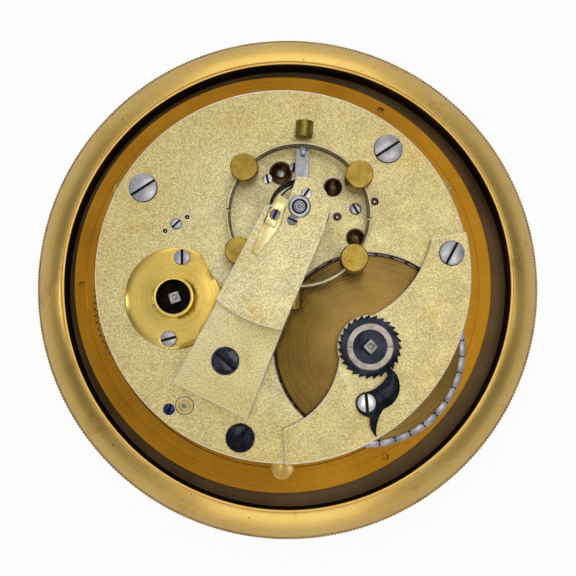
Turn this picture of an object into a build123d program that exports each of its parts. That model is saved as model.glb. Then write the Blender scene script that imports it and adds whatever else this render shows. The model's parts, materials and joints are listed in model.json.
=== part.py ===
from build123d import *
import os
from math import acos, atan2, cos, degrees, hypot, radians, sin

# Marine chronometer movement, lying face down in its bezel.
# Millimetres. +Z points to the back of the movement, the dial looks towards -Z,
# and z = 0 is the bezel's front face. The origin is on the bezel's axis.

# Clearances
RUNNING = 0.04          # radial play of a shaft in its hole
SEATED = 0.02           # radial play of a piece that is fixed in or on another
AIR = 0.3               # smallest gap between pieces that pass each other

# The movement lies loosely in the bezel, a little off its axis
MOVEMENT_SHIFT_X = -1.2
MOVEMENT_SHIFT_Y = 0.6

# The pillar plate's radius drives the plan: places and the larger radii are shares of it
PILLAR_PLATE_R = 44.8


def at(x, y):
    """A place measured from the centre arbor, from shares of the pillar plate's radius."""
    return (x * PILLAR_PLATE_R, y * PILLAR_PLATE_R)


# Movement ring
RING_STEP_R = PILLAR_PLATE_R + 3.2
RING_R = RING_STEP_R + 3.0
RING_STEP_H = 0.4
RING_INNER_W = 2.1
RING_HOLE_R = 0.7
RING_HOLE_CIRCLE_R = RING_STEP_R + 1.0
RING_HOLE_ANGLES = (60.5, 180.5, 300.5)
RING_HOLE_DEPTH = 3.0

# Bezel, glass and the ring that holds the glass
BEZEL_LIP_R = RING_R + 3.2
BEZEL_R = BEZEL_LIP_R + 8.0
BEZEL_FRONT_R = BEZEL_R - 5.2
BEZEL_H = 19.5
COIN_EDGE_Z = 7.0
COIN_EDGE_H = 4.2
COIN_EDGE_STEP = 1.7
BEZEL_LIP_T = 0.8
THREAD_GROOVE = 0.5
LEDGE_R = RING_R - 2.8
LEDGE_Z = 10.4
SIGHT_R = LEDGE_R - 1.7
GLASS_SEAT_Z = 1.5
GLASS_T = 2.0
GLASS_EDGE = 0.5
GLASS_RING_H = 1.8
GLASS_RING_W = 1.4

# Dial
DIAL_R = LEDGE_R - 1.7
DIAL_T = 1.0
DIAL_DROP = 0.2         # the dial's back face below the bezel's ledge
DIAL_SCREW_CIRCLE_R = DIAL_R - 2.3
DIAL_SCREW_ANGLES = (15.0, 135.0, 255.0)
DIAL_SCREW_HEAD_H = 0.5
DIAL_SCREW_LENGTH = 2.8
SUBDIAL_R = 0.2143 * PILLAR_PLATE_R
SUBDIAL_DEPTH = 0.3

# Plates and pillars
MOTION_GAP = 4.2        # from the dial's back to the pillar plate
PILLAR_PLATE_T = 2.6
PILLAR_H = 22.0
TOP_PLATE_R = PILLAR_PLATE_R - 3.0
TOP_PLATE_T = 3.2
BRIDGE_T = 3.0
BRIDGE_RIGHT_RIM_ANGLE = 12.9
BRIDGE_RIGHT_HORN_ANGLE = 13.1
BRIDGE_RIGHT_ANGLE = 56.4
BRIDGE_LOBE_ANGLES = (83.4, 142.0, 200.8)
BRIDGE_LEFT_ANGLE = 228.3
BRIDGE_LEFT_HORN_ANGLE = -89.5
BRIDGE_LEFT_RIM_ANGLE = -88.9
BRIDGE_HORN_R = 0.7578 * PILLAR_PLATE_R       # where its two arms meet the plate's opening
BRIDGE_RIGHT_R = 0.3750 * PILLAR_PLATE_R      # its hollow sides, from the barrel's axis
BRIDGE_LEFT_R = 0.3281 * PILLAR_PLATE_R
PLATE_CHAMFER = 0.3
PILLAR_R = 2.3
PILLAR_COLLAR_R = 3.0
PILLAR_COLLAR_H = 1.2
PILLAR_RIVET_R = 1.6
PILLARS = (at(-0.6964, 0.4375), at(0.5312, 0.6339), at(-0.2076, -0.8080))
BRIDGE_PILLAR = at(0.8371, 0.1027)      # its screw also holds the barrel bridge
DOG_SCREW_ANGLES = (30.0, 150.0, 270.0)
DOG_SCREW_R = 2.8
DOG_SCREW_HEAD_H = 1.0
DOG_SCREW_SHANK_R = 1.2

# Screws
PLATE_SCREW_R = 2.3
PLATE_SCREW_HEAD_H = 1.4
PLATE_SCREW_SHANK_R = 1.1
PLATE_SCREW_LENGTH = 6.0
PLATE_SCREW_SLOT = 0.5
PILLAR_SLOT_ANGLES = (32.0, 38.0, 56.0, 38.0)
SCREW_SLOT_DEPTH = 0.6
SCREW_PROUD = 0.3       # a sunk head stands this far out of its plate
SMALL_SCREW_R = 1.2
SMALL_SCREW_HEAD_H = 1.0
SMALL_SCREW_SHANK_R = 0.6
SETTING_SLOT_ANGLE = 65.0
SMALL_SLOT_ANGLE = 60.0
CAP_SLOT_ANGLE = 85.0
COCK_SLOT_ANGLE = 58.0
STUD_SLOT_ANGLE = 75.0
CLICK_SLOT_ANGLE = 55.0
SMALL_SCREW_REACH = 1.0
SMALL_SCREW_SLOT = 0.3
STEADY_PIN_R = 0.9
PIN_BORE_H = 2.2        # depth of the pin and screw holes in the pieces under the top plate
POTENCE_W = 4.6
POTENCE_BOSS_R = 2.7

# Axes of the going train, measured from the centre arbor
CENTRE = (0.0, 0.0)
FUSEE = at(-0.5290, -0.1161)
BARREL = at(0.4286, -0.3594)
THIRD = at(0.3661, 0.1853)
FOURTH = at(0.2545, 0.4397)
ESCAPE = at(-0.0067, 0.5112)
BALANCE = at(0.0826, 0.2879)
UP_DOWN = at(-0.2500, -0.4420)
MINUTE = at(-0.1071, 0.1853)

# Tooth counts
GREAT_TEETH = 84
CENTRE_PINION_LEAVES = 12
CENTRE_TEETH = 90
THIRD_PINION_LEAVES = 12
THIRD_TEETH = 80
FOURTH_PINION_LEAVES = 10
FOURTH_TEETH = 80
ESCAPE_PINION_LEAVES = 10
ESCAPE_TEETH = 15
CANNON_LEAVES = 12
MINUTE_TEETH = 36
MINUTE_PINION_LEAVES = 10
HOUR_TEETH = 40
UP_DOWN_PINION_LEAVES = 8
UP_DOWN_TEETH = 72
RATCHET_TEETH = 27
MAINTAINING_TEETH = 60

# Tooth form, as shares of the module or of the tooth pitch
ADDENDUM = 0.9
WHEEL_DEDENDUM = 1.3
PINION_ADDENDUM = 0.65
PINION_DEDENDUM = 1.45
TOOTH_TIP_SHARE = 0.2
TOOTH_ROOT_SHARE = 0.58
LEAF_TIP_SHARE = 0.16
LEAF_ROOT_SHARE = 0.44

# Heights between the plates, measured up from the pillar plate's inner face
CENTRE_WHEEL_Z = 0.8
CENTRE_WHEEL_T = 1.2
CENTRE_PINION_Z = 2.6
CENTRE_PINION_H = 2.8
GREAT_WHEEL_Z = 3.0
GREAT_WHEEL_T = 2.0
MAINTAINING_T = 1.0
THIRD_PINION_Z = 0.4
THIRD_PINION_H = 2.2
THIRD_WHEEL_Z = 3.2
THIRD_WHEEL_T = 1.0
FOURTH_PINION_Z = 2.8
FOURTH_PINION_H = 2.0
FOURTH_WHEEL_Z = 11.0
FOURTH_WHEEL_T = 1.0
ESCAPE_PINION_Z = 10.2
ESCAPE_PINION_H = 2.6
ESCAPE_WHEEL_Z = 18.5
ESCAPE_WHEEL_T = 1.0
BARREL_Z = 4.8
POTENCE_Z = 13.6
POTENCE_ARM_T = 2.6
DETENT_Z = 16.9
DETENT_H = 1.2
CHAIN_Z = 13.4

# Wheels, arbors and pivots
ARBOR_R = 0.85
PIVOT_R = 0.4
CENTRE_ARBOR_R = 1.4
CENTRE_PIVOT_R = 0.8
WHEEL_RIM = 2.2
WHEEL_HUB_R = 2.6
SPOKE_W = 1.6
ESCAPE_R = 0.1652 * PILLAR_PLATE_R
ESCAPE_RIM_R = 0.1205 * PILLAR_PLATE_R
ESCAPE_HUB_R = 1.6

# Barrel, chain and ratchet
DRUM_R = 0.4598 * PILLAR_PLATE_R
DRUM_WALL = 1.2
DRUM_H = 17.4
COVER_T = 1.4
CUTOUT_GAP = 0.6
BARREL_ARBOR_R = 5.5
BARREL_PIVOT_R = 2.0
BARREL_BRIDGE_PIVOT_R = 3.0
BARREL_SHOULDER_R = 4.0
BARREL_NECK_R = 4.0
WINDING_SQUARE_ANGLE = 45.0
SPRING_T = 0.5
SPRING_TURNS = 6
SPRING_EDGE_GAP = 0.6
RATCHET_R = 0.1585 * PILLAR_PLATE_R
RATCHET_TOOTH_H = 0.8
RATCHET_T = 1.5
RATCHET_COLLAR_R = RATCHET_R - 1.9
RATCHET_COLLAR_IN_R = RATCHET_COLLAR_R - 1.5
RATCHET_COLLAR_H = 0.6
WINDING_SQUARE = 2.4
WINDING_SQUARE_TOP = 4.6
SQUARE_HOLE_R = 0.6
CHAIN_W = 1.06
CHAIN_H = 1.3
CHAIN_PITCH = 2.5
CHAIN_LINK_L = 2.2
CHAIN_NECK_W = 0.5
CHAIN_NECK_H = 0.5
CHAIN_GAP = 0.08
CHAIN_BARREL_TURN = 330.0
CHAIN_FUSEE_TURN = 200.0

# Fusee
FUSEE_BASE_R = 0.3929 * PILLAR_PLATE_R
FUSEE_TOP_R = 0.1964 * PILLAR_PLATE_R
FUSEE_TURNS = 7
FUSEE_GROOVE_H = 1.45
FUSEE_LAND_H = 0.35
FUSEE_GROOVE_DEPTH = 0.6
FUSEE_ARBOR_R = 2.2
FUSEE_PIVOT_R = 1.6
FUSEE_SQUARE_SUNK = 3.0
FUSEE_SQUARE_ANGLE = 20.0
SQUARE_SHOULDER_DROP = 0.5
SQUARE_HOLE_DEPTH = 1.5
PINION_MARGIN = 0.2
FUSEE_CAP_FILLET_FOOT = 2.6
FUSEE_CAP_FILLET_NECK = 0.4
FUSEE_CAP_FILLET_H = 0.5
FUSEE_CAP_TRIM_L = 60.0
FUSEE_CAP_TRIM_W = 20.0
FUSEE_SQUARE = 2.3
FUSEE_CAP_R = 0.2522 * PILLAR_PLATE_R
FUSEE_CAP_T = 1.1
FUSEE_CAP_RISE = 0.9
FUSEE_TUBE_R = 4.4
FUSEE_TUBE_WALL = 0.6
FUSEE_TUBE_H = 6.3
FUSEE_CAP_BALANCE_R = 0.5179 * PILLAR_PLATE_R
FUSEE_CAP_SCREW_CIRCLE_R = 0.2054 * PILLAR_PLATE_R
FUSEE_CAP_SCREW_ANGLES = (81.0, 261.0)
FUSEE_CAP_SCREW_R = 1.75

# Balance, its staff, rollers and spring
BALANCE_ARM_ANGLE = 86.4
BALANCE_RIM_R = 0.3527 * PILLAR_PLATE_R
BALANCE_RIM_W = 1.1
BALANCE_RIM_H = 2.9
BALANCE_RIM_Z = 3.4     # above the top plate
BALANCE_ARM_W = 3.0
BALANCE_ARM_T = 1.2
BALANCE_HUB_R = 2.6
RIM_CUT_W = 0.5
WEIGHT_R = 3.05
WEIGHT_H = 7.0
WEIGHT_DROP = 0.7       # below the rim
WEIGHT_CIRCLE_R = BALANCE_RIM_R - 0.3
WEIGHT_ANGLE = 54.0     # each side of an arm's end
NUT_R = 2.0
NUT_L = 3.8
NUT_CIRCLE_R = BALANCE_RIM_R + 2.9
STUD_SIDE = 1.6
STUD_IN_R = BALANCE_RIM_R - 3.0
STAFF_R = 1.2
STAFF_PIVOT_R = 0.3
DISCHARGE_R = 1.7
DISCHARGE_JEWEL = 0.3
ROLLER_H = 1.1
SPRING_COIL_R = 6.3
SPRING_WIRE_W = 0.3
SPRING_WIRE_H = 0.5
SPRING_COILS = 7
SPRING_Z = 7.3          # lowest coil above the top plate
SPRING_COLLET_R = 2.2
SPRING_END_LAP = 0.1    # the curved ends run this far into the coil

# Balance cock, above the top plate
COCK_FOOT_H = 12.8
COCK_ARM_Z = 15.3
COCK_ARM_T = 3.5
COCK_TIP_R = 0.1362 * PILLAR_PLATE_R
COCK_RISER_R = 0.4821 * PILLAR_PLATE_R     # from the balance axis
COCK_STEP_R = 0.5804 * PILLAR_PLATE_R      # from the balance axis
COCK_POCKET_DEPTH = 1.4
COCK_SETTING_R = 0.0507 * PILLAR_PLATE_R
COCK_SHOULDER_RIGHT = at(0.2076, 0.2143)
COCK_TIP_CORNER = at(0.0692, 0.4219)
COCK_NOTCH = at(0.0290, 0.3103)
COCK_SHOULDER_LEFT = at(-0.0759, 0.2924)
COCK_FOOT_INNER_LEFT = at(-0.3103, -0.1562)
COCK_FOOT_OUTER_LEFT = at(-0.5156, -0.5312)
COCK_FOOT_OUTER_RIGHT = at(-0.1629, -0.7009)
COCK_FOOT_INNER_RIGHT = at(-0.0022, -0.2946)
COCK_POCKET = (at(-0.0558, 0.2879), at(-0.1406, 0.0714), at(-0.1161, 0.0513),
               at(-0.0045, 0.2009), at(0.0223, 0.2969))
COCK_SCREW = at(-0.2679, -0.4286)
SETTING_SCREW_R = 1.1
SETTING_SCREW_H = 0.5
STUD_BLOCK_W = 0.0536 * PILLAR_PLATE_R
STUD_BLOCK_L = 0.1429 * PILLAR_PLATE_R
STUD_BLOCK_TAIL = 0.0536 * PILLAR_PLATE_R     # from the stud's screw to the end away from the spring
STUD_BLOCK_RISE = 0.3
STUD_POST_R = 0.7
STUD_SCREW_R = 0.1194 * PILLAR_PLATE_R        # from the balance axis
STUD_SCREW_ANGLE = 198.4

# Small pieces on and under the top plate
ESCAPE_SETTING_R = 2.45
COCK_SETTING_SCREW_ANGLE = 63.0
ESCAPE_SETTING_SCREW_ANGLE = 23.5
OIL_SINK_DEPTH = 1.2
OIL_SINK_FLOOR_W = 0.3
BUSH_RIM_W = 0.25
SETTING_RIM_W = 0.7
TRAIN_BUSH_R = 1.94
MAINTAINING_PIVOT = at(-0.4833, -0.6484)
MAINTAINING_SCREW = at(-0.5603, -0.6663)
MAINTAINING_ARBOR_R = 0.8
MAINTAINING_TIP_ANGLE = 250.0
DETENT_SCREW = at(-0.5312, 0.2567)
DETENT_PINS = (at(-0.5848, 0.2210), at(-0.4754, 0.2902))
POTENCE_SCREW = at(0.3672, 0.3315)
POTENCE_PINS = (at(0.2746, 0.2913), at(0.4621, 0.3683))
BRIDGE_PIN = at(0.1080, -0.8237)
CLICK_SCREW = at(0.4107, -0.6317)
CLICK_T = 1.5
CLICK_SCREW_R = 2.0
CLICK_BOSS_R = CLICK_SCREW_R + 0.3
CLICK_BOSS_ANGLES = (165.0, 130.0, 95.0)
CLICK_PIVOT_R = SMALL_SCREW_SHANK_R + 0.2
CLICK_BEAK_ANGLE = -46.0
RATCHET_PHASE = CLICK_BEAK_ANGLE + 2.4      # a tooth's steep side stands just past the beak
DETENT_ROOT = at(-0.4420, 0.2902)
DETENT_FOOT_W = 3.6

# Hands
CANNON_R = 1.25
CANNON_BORE_R = 0.75
HOUR_PIPE_R = 1.8
HOUR_HAND_L = 0.5134 * PILLAR_PLATE_R
MINUTE_HAND_L = 0.8036 * PILLAR_PLATE_R
SECONDS_HAND_L = 0.1920 * PILLAR_PLATE_R
UP_DOWN_HAND_L = 0.1786 * PILLAR_PLATE_R
MINUTE_HAND_TAIL = 7.0
HOUR_HAND_TAIL = 5.0
SECONDS_HAND_TAIL = 3.0
UP_DOWN_HAND_TAIL = 2.6
MINUTE_HAND_HUB_R = 2.2
HOUR_HAND_HUB_R = 2.6
SMALL_HAND_HUB_R = 1.1
MINUTE_HAND_W = 1.1
HOUR_HAND_W = 1.3
SMALL_HAND_W = 0.5
MINUTE_HAND_TURN = 60.0
HOUR_HAND_TURN = -55.0
SECONDS_HAND_TURN = 130.0
UP_DOWN_HAND_TURN = -40.0
HAND_T = 0.4

# Heights that follow from the sizes above
DIAL_BACK_Z = LEDGE_Z - DIAL_DROP
DIAL_FRONT_Z = DIAL_BACK_Z - DIAL_T
PILLAR_PLATE_Z = DIAL_BACK_Z + MOTION_GAP
FLOOR_Z = PILLAR_PLATE_Z + PILLAR_PLATE_T
CEILING_Z = FLOOR_Z + PILLAR_H
TOP_Z = CEILING_Z + TOP_PLATE_T
BRIDGE_TOP_Z = TOP_Z + BRIDGE_T
COCK_ARM_BOTTOM = TOP_Z + COCK_ARM_Z
COCK_TOP_Z = COCK_ARM_BOTTOM + COCK_ARM_T
DRUM_BOTTOM = FLOOR_Z + BARREL_Z
DRUM_TOP = DRUM_BOTTOM + DRUM_H
COVER_TOP = DRUM_TOP + COVER_T
RATCHET_Z = BRIDGE_TOP_Z + AIR
GLASS_TOP_Z = GLASS_SEAT_Z + GLASS_T
GREAT_TOP = FLOOR_Z + GREAT_WHEEL_Z + GREAT_WHEEL_T
FUSEE_CONE_Z = GREAT_TOP + MAINTAINING_T + AIR
ESCAPE_WHEEL_BOTTOM = FLOOR_Z + ESCAPE_WHEEL_Z

# Heights of the hands and of the motion work, behind the dial and in front of it
HOUR_WHEEL_Z = DIAL_BACK_Z + 0.5
HOUR_WHEEL_T = 0.6
UP_DOWN_WHEEL_Z = HOUR_WHEEL_Z + HOUR_WHEEL_T + AIR
UP_DOWN_WHEEL_T = 0.6
CANNON_Z = UP_DOWN_WHEEL_Z + UP_DOWN_WHEEL_T + AIR
CANNON_H = 1.1
SECONDS_HAND_Z = DIAL_FRONT_Z - 0.5 - HAND_T
HOUR_HAND_Z = SECONDS_HAND_Z - AIR - HAND_T
MINUTE_HAND_Z = HOUR_HAND_Z - 0.9 - HAND_T


def distance(a, b):
    return hypot(b[0] - a[0], b[1] - a[1])


def direction(a, b):
    return degrees(atan2(b[1] - a[1], b[0] - a[0]))


def polar(radius, angle, centre=(0.0, 0.0)):
    return (centre[0] + radius * cos(radians(angle)), centre[1] + radius * sin(radians(angle)))


def along(start, end, length, side=0.0):
    """The point at a length from start towards end, and off to the left by side."""
    span = distance(start, end)
    ux = (end[0] - start[0]) / span
    uy = (end[1] - start[1]) / span
    return (start[0] + ux * length - uy * side, start[1] + uy * length + ux * side)


def cyl(centre, radius, z_low, z_high):
    body = Cylinder(radius, z_high - z_low, align=(Align.CENTER, Align.CENTER, Align.MIN))
    return Pos(centre[0], centre[1], z_low) * body


def tube(centre, outer, inner, z_low, z_high):
    return cyl(centre, outer, z_low, z_high) - cyl(centre, inner, z_low - 1, z_high + 1)


def bar(centre, length, width, z_low, z_high, angle=0.0):
    body = Box(length, width, z_high - z_low, align=(Align.CENTER, Align.CENTER, Align.MIN))
    return Pos(centre[0], centre[1], z_low) * (Rot(0, 0, angle) * body)


def prism(points, z_low, z_high):
    face = make_face(Polyline(*points, close=True))
    return extrude(Pos(0, 0, z_low) * face, amount=z_high - z_low, dir=(0, 0, 1))


def slab(edges, z_low, z_high):
    """A flat piece with straight and round edges."""
    return extrude(Pos(0, 0, z_low) * make_face(edges), amount=z_high - z_low, dir=(0, 0, 1))


def turned(centre, profile):
    """A solid of revolution about the vertical axis at centre, from (radius, z) points."""
    face = Plane.XZ * make_face(Polyline(*profile, close=True))
    return Pos(centre[0], centre[1], 0) * revolve(face, Axis.Z)


def screw(centre, radius, head_z, head_h, shank_r, length, slot, angle):
    """A slotted screw; head_z is the face that the head bears on, and the shank points down."""
    body = cyl(centre, radius, head_z, head_z + head_h)
    body += cyl(centre, shank_r, head_z - length, head_z)
    top = head_z + head_h
    depth = min(SCREW_SLOT_DEPTH, head_h / 2)
    return body - bar(centre, 3 * radius, slot, top - depth, top + 1, angle)


def gear_points(centre, teeth, pitch_r, phase, addendum, dedendum, tip_share, root_share):
    """The outline of a toothed wheel, with one tooth centred at the angle phase."""
    module = 2 * pitch_r / teeth
    step = 360.0 / teeth
    tip_r = pitch_r + addendum * module
    root_r = pitch_r - dedendum * module
    points = []
    for i in range(teeth):
        mid = phase + i * step
        points.append(polar(root_r, mid - root_share * step / 2, centre))
        points.append(polar(tip_r, mid - tip_share * step / 2, centre))
        points.append(polar(tip_r, mid + tip_share * step / 2, centre))
        points.append(polar(root_r, mid + root_share * step / 2, centre))
    return points


def pitch_radii(a, b, teeth_a, teeth_b):
    span = distance(a, b)
    return span * teeth_a / (teeth_a + teeth_b), span * teeth_b / (teeth_a + teeth_b)


def meshed_phase(a, b, phase_a, teeth_a, teeth_b):
    """The angle of a tooth of wheel b that puts it in mesh with wheel a."""
    line = direction(a, b)
    step_a = 360.0 / teeth_a
    lead = (phase_a - line + step_a / 2) % step_a - step_a / 2
    return line + 180.0 + 180.0 / teeth_b - lead * teeth_a / teeth_b


def spoked(centre, blank, rim_in, hub_r, z_low, z_high, spokes, phase, spoke_w=SPOKE_W):
    """Cuts the openings between a wheel's hub and its rim, leaving its spokes."""
    openings = tube(centre, rim_in, hub_r, z_low - 1, z_high + 1)
    for i in range(spokes):
        angle = phase + i * 360.0 / spokes
        middle = polar((rim_in + hub_r) / 2, angle, centre)
        openings -= bar(middle, rim_in, spoke_w, z_low - 2, z_high + 2, angle)
    return blank - openings


def train_wheel(centre, teeth, pitch_r, phase, z_low, thick, bore_r, spokes=4):
    points = gear_points(centre, teeth, pitch_r, phase, ADDENDUM, WHEEL_DEDENDUM,
                         TOOTH_TIP_SHARE, TOOTH_ROOT_SHARE)
    blank = prism(points, z_low, z_low + thick)
    blank = spoked(centre, blank, pitch_r - WHEEL_RIM, WHEEL_HUB_R, z_low, z_low + thick,
                   spokes, phase)
    return blank - cyl(centre, bore_r, z_low - 1, z_low + thick + 1)


def pinion(centre, leaves, pitch_r, phase, z_low, height):
    points = gear_points(centre, leaves, pitch_r, phase, PINION_ADDENDUM, PINION_DEDENDUM,
                         LEAF_TIP_SHARE, LEAF_ROOT_SHARE)
    return prism(points, z_low, z_low + height)


def pivoted_arbor(centre, z_low, z_high, radius, pivot_r, body_low, body_high):
    """An arbor with a thinner pivot at each end."""
    return turned(centre, [
        (0, z_low), (pivot_r, z_low), (pivot_r, body_low), (radius, body_low),
        (radius, body_high), (pivot_r, body_high), (pivot_r, z_high), (0, z_high)])


# Pitch radii and tooth phases of the train, from the axes and the tooth counts
GREAT_PR, CENTRE_PINION_PR = pitch_radii(FUSEE, CENTRE, GREAT_TEETH, CENTRE_PINION_LEAVES)
CENTRE_PR, THIRD_PINION_PR = pitch_radii(CENTRE, THIRD, CENTRE_TEETH, THIRD_PINION_LEAVES)
THIRD_PR, FOURTH_PINION_PR = pitch_radii(THIRD, FOURTH, THIRD_TEETH, FOURTH_PINION_LEAVES)
FOURTH_PR, ESCAPE_PINION_PR = pitch_radii(FOURTH, ESCAPE, FOURTH_TEETH, ESCAPE_PINION_LEAVES)
MINUTE_PR, CANNON_PR = pitch_radii(MINUTE, CENTRE, MINUTE_TEETH, CANNON_LEAVES)
HOUR_PR, MINUTE_PINION_PR = pitch_radii(CENTRE, MINUTE, HOUR_TEETH, MINUTE_PINION_LEAVES)
UP_DOWN_PR, UP_DOWN_PINION_PR = pitch_radii(UP_DOWN, FUSEE, UP_DOWN_TEETH, UP_DOWN_PINION_LEAVES)

ESCAPE_PHASE = 0.0
GREAT_PHASE = 0.0
CENTRE_PINION_PHASE = meshed_phase(FUSEE, CENTRE, GREAT_PHASE, GREAT_TEETH, CENTRE_PINION_LEAVES)
CENTRE_PHASE = 0.0
THIRD_PINION_PHASE = meshed_phase(CENTRE, THIRD, CENTRE_PHASE, CENTRE_TEETH, THIRD_PINION_LEAVES)
THIRD_PHASE = 0.0
FOURTH_PINION_PHASE = meshed_phase(THIRD, FOURTH, THIRD_PHASE, THIRD_TEETH, FOURTH_PINION_LEAVES)
FOURTH_PHASE = 0.0
ESCAPE_PINION_PHASE = meshed_phase(FOURTH, ESCAPE, FOURTH_PHASE, FOURTH_TEETH,
                                   ESCAPE_PINION_LEAVES)
CANNON_PHASE = 0.0
MINUTE_PHASE = meshed_phase(CENTRE, MINUTE, CANNON_PHASE, CANNON_LEAVES, MINUTE_TEETH)
HOUR_PHASE = 0.0
MINUTE_PINION_PHASE = meshed_phase(CENTRE, MINUTE, HOUR_PHASE, HOUR_TEETH, MINUTE_PINION_LEAVES)
UP_DOWN_PINION_PHASE = 0.0
UP_DOWN_PHASE = meshed_phase(FUSEE, UP_DOWN, UP_DOWN_PINION_PHASE, UP_DOWN_PINION_LEAVES,
                             UP_DOWN_TEETH)


# Bezel and glass

def bezel_ring():
    coin_top = COIN_EDGE_Z + COIN_EDGE_H
    skirt_foot = (BEZEL_R - COIN_EDGE_STEP, coin_top + COIN_EDGE_STEP / 2)
    lip_out = (BEZEL_LIP_R + BEZEL_LIP_T, BEZEL_H)
    skirt_mid = ((skirt_foot[0] + lip_out[0]) / 2 + 1.0, (skirt_foot[1] + lip_out[1]) / 2 + 0.6)
    front_end = (BEZEL_R - 0.5, COIN_EDGE_Z - 0.5)
    front_mid = ((BEZEL_FRONT_R + front_end[0]) / 2 + 1.1, front_end[1] / 2 - 1.0)
    outline = Polyline((SIGHT_R, GLASS_SEAT_Z), (SIGHT_R, 0), (BEZEL_FRONT_R, 0))
    outline += ThreePointArc((BEZEL_FRONT_R, 0), front_mid, front_end)
    outline += Polyline(front_end, (BEZEL_R, COIN_EDGE_Z), (BEZEL_R, coin_top), skirt_foot)
    outline += ThreePointArc(skirt_foot, skirt_mid, lip_out)
    outline += Polyline(
        lip_out, (BEZEL_LIP_R, BEZEL_H - BEZEL_LIP_T), (BEZEL_LIP_R, LEDGE_Z + THREAD_GROOVE),
        (BEZEL_LIP_R + THREAD_GROOVE, LEDGE_Z + THREAD_GROOVE),
        (BEZEL_LIP_R + THREAD_GROOVE, LEDGE_Z), (LEDGE_R, LEDGE_Z), (LEDGE_R, GLASS_SEAT_Z),
        (SIGHT_R, GLASS_SEAT_Z))
    return revolve(Plane.XZ * make_face(outline), Axis.Z)


def bezel_glass():
    edge = LEDGE_R - SEATED
    return turned((0, 0), [
        (0, GLASS_SEAT_Z), (edge, GLASS_SEAT_Z), (edge, GLASS_TOP_Z - GLASS_EDGE),
        (edge - GLASS_EDGE, GLASS_TOP_Z), (0, GLASS_TOP_Z)])


def glass_retaining_ring():
    outer = LEDGE_R - SEATED
    top = GLASS_TOP_Z + GLASS_RING_H
    inner = outer - GLASS_RING_W
    return turned((0, 0), [
        (inner, GLASS_TOP_Z), (outer - GLASS_EDGE, GLASS_TOP_Z), (outer, GLASS_TOP_Z + GLASS_EDGE),
        (outer, top), (inner + GLASS_EDGE, top), (inner, top - GLASS_EDGE)])


# Frame of the movement

def dog_screw_places():
    return [polar(PILLAR_PLATE_R, angle) for angle in DOG_SCREW_ANGLES]


def movement_ring():
    flange_top = FLOOR_Z - RING_STEP_H
    rebate_in = PILLAR_PLATE_R - RING_INNER_W
    dial_seat_r = DIAL_R
    ring = turned((0, 0), [
        (RING_R, LEDGE_Z), (RING_R, flange_top), (RING_STEP_R, flange_top),
        (RING_STEP_R, FLOOR_Z), (PILLAR_PLATE_R, FLOOR_Z), (PILLAR_PLATE_R, PILLAR_PLATE_Z),
        (rebate_in, PILLAR_PLATE_Z), (rebate_in, DIAL_BACK_Z), (dial_seat_r, DIAL_BACK_Z),
        (dial_seat_r, LEDGE_Z)])
    for angle in RING_HOLE_ANGLES:
        place = polar(RING_HOLE_CIRCLE_R, angle)
        ring -= cyl(place, RING_HOLE_R, flange_top - RING_HOLE_DEPTH, flange_top + 1)
    for place in dog_screw_places():
        ring -= cyl(place, DOG_SCREW_SHANK_R + SEATED, PILLAR_PLATE_Z - 1, FLOOR_Z + 1)
    for angle in DIAL_SCREW_ANGLES:
        place = polar(DIAL_SCREW_CIRCLE_R, angle)
        ring -= cyl(place, SMALL_SCREW_SHANK_R + SEATED, DIAL_BACK_Z - 1,
                    DIAL_BACK_Z + DIAL_SCREW_LENGTH + SEATED)
    return ring


def pillar_plate():
    plate = cyl(CENTRE, PILLAR_PLATE_R - SEATED, PILLAR_PLATE_Z, FLOOR_Z)
    holes = [
        (CENTRE, CENTRE_ARBOR_R + RUNNING), (FUSEE, FUSEE_PIVOT_R + RUNNING),
        (BARREL, BARREL_PIVOT_R + RUNNING), (THIRD, PIVOT_R + RUNNING),
        (FOURTH, PIVOT_R + RUNNING), (ESCAPE, PIVOT_R + RUNNING),
        (MINUTE, PIVOT_R + RUNNING), (UP_DOWN, PIVOT_R + RUNNING),
        (MAINTAINING_PIVOT, PIVOT_R + RUNNING)]
    holes += [(place, PILLAR_RIVET_R + SEATED) for place in PILLARS + (BRIDGE_PILLAR,)]
    holes += [(place, DOG_SCREW_SHANK_R + SEATED) for place in dog_screw_places()]
    for place, radius in holes:
        plate -= cyl(place, radius, PILLAR_PLATE_Z - 1, FLOOR_Z + 1)
    return plate


def pillar(place):
    top_r = PILLAR_COLLAR_R - 0.3
    body = turned(place, [
        (0, PILLAR_PLATE_Z), (PILLAR_RIVET_R, PILLAR_PLATE_Z), (PILLAR_RIVET_R, FLOOR_Z),
        (PILLAR_COLLAR_R, FLOOR_Z), (PILLAR_COLLAR_R, FLOOR_Z + PILLAR_COLLAR_H),
        (PILLAR_R, FLOOR_Z + 2 * PILLAR_COLLAR_H), (PILLAR_R, CEILING_Z - 2 * PILLAR_COLLAR_H),
        (top_r, CEILING_Z - PILLAR_COLLAR_H), (top_r, CEILING_Z), (0, CEILING_Z)])
    bore = PLATE_SCREW_SHANK_R + SEATED
    return body - cyl(place, bore, CEILING_Z - PLATE_SCREW_LENGTH - AIR, CEILING_Z + 1)


def dog_screws():
    length = PILLAR_PLATE_T - SEATED
    places = zip(dog_screw_places(), DOG_SCREW_ANGLES)
    return [screw(place, DOG_SCREW_R, FLOOR_Z, DOG_SCREW_HEAD_H, DOG_SCREW_SHANK_R, length,
                  PLATE_SCREW_SLOT, angle) for place, angle in places]


def sunk_screw_bore(place, radius, shank_r, seat_z, head_h, plate_low):
    """The hole and the round pocket that a sunk screw needs."""
    top = seat_z + head_h
    return (cyl(place, radius + 2 * SEATED, seat_z, top + 1)
            + cyl(place, shank_r + SEATED, plate_low - 1, seat_z + 1))


def plate_screw_seat(surface_z):
    return surface_z + SCREW_PROUD - PLATE_SCREW_HEAD_H


def small_screw_seat(surface_z):
    return surface_z + SCREW_PROUD / 2 - SMALL_SCREW_HEAD_H


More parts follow.
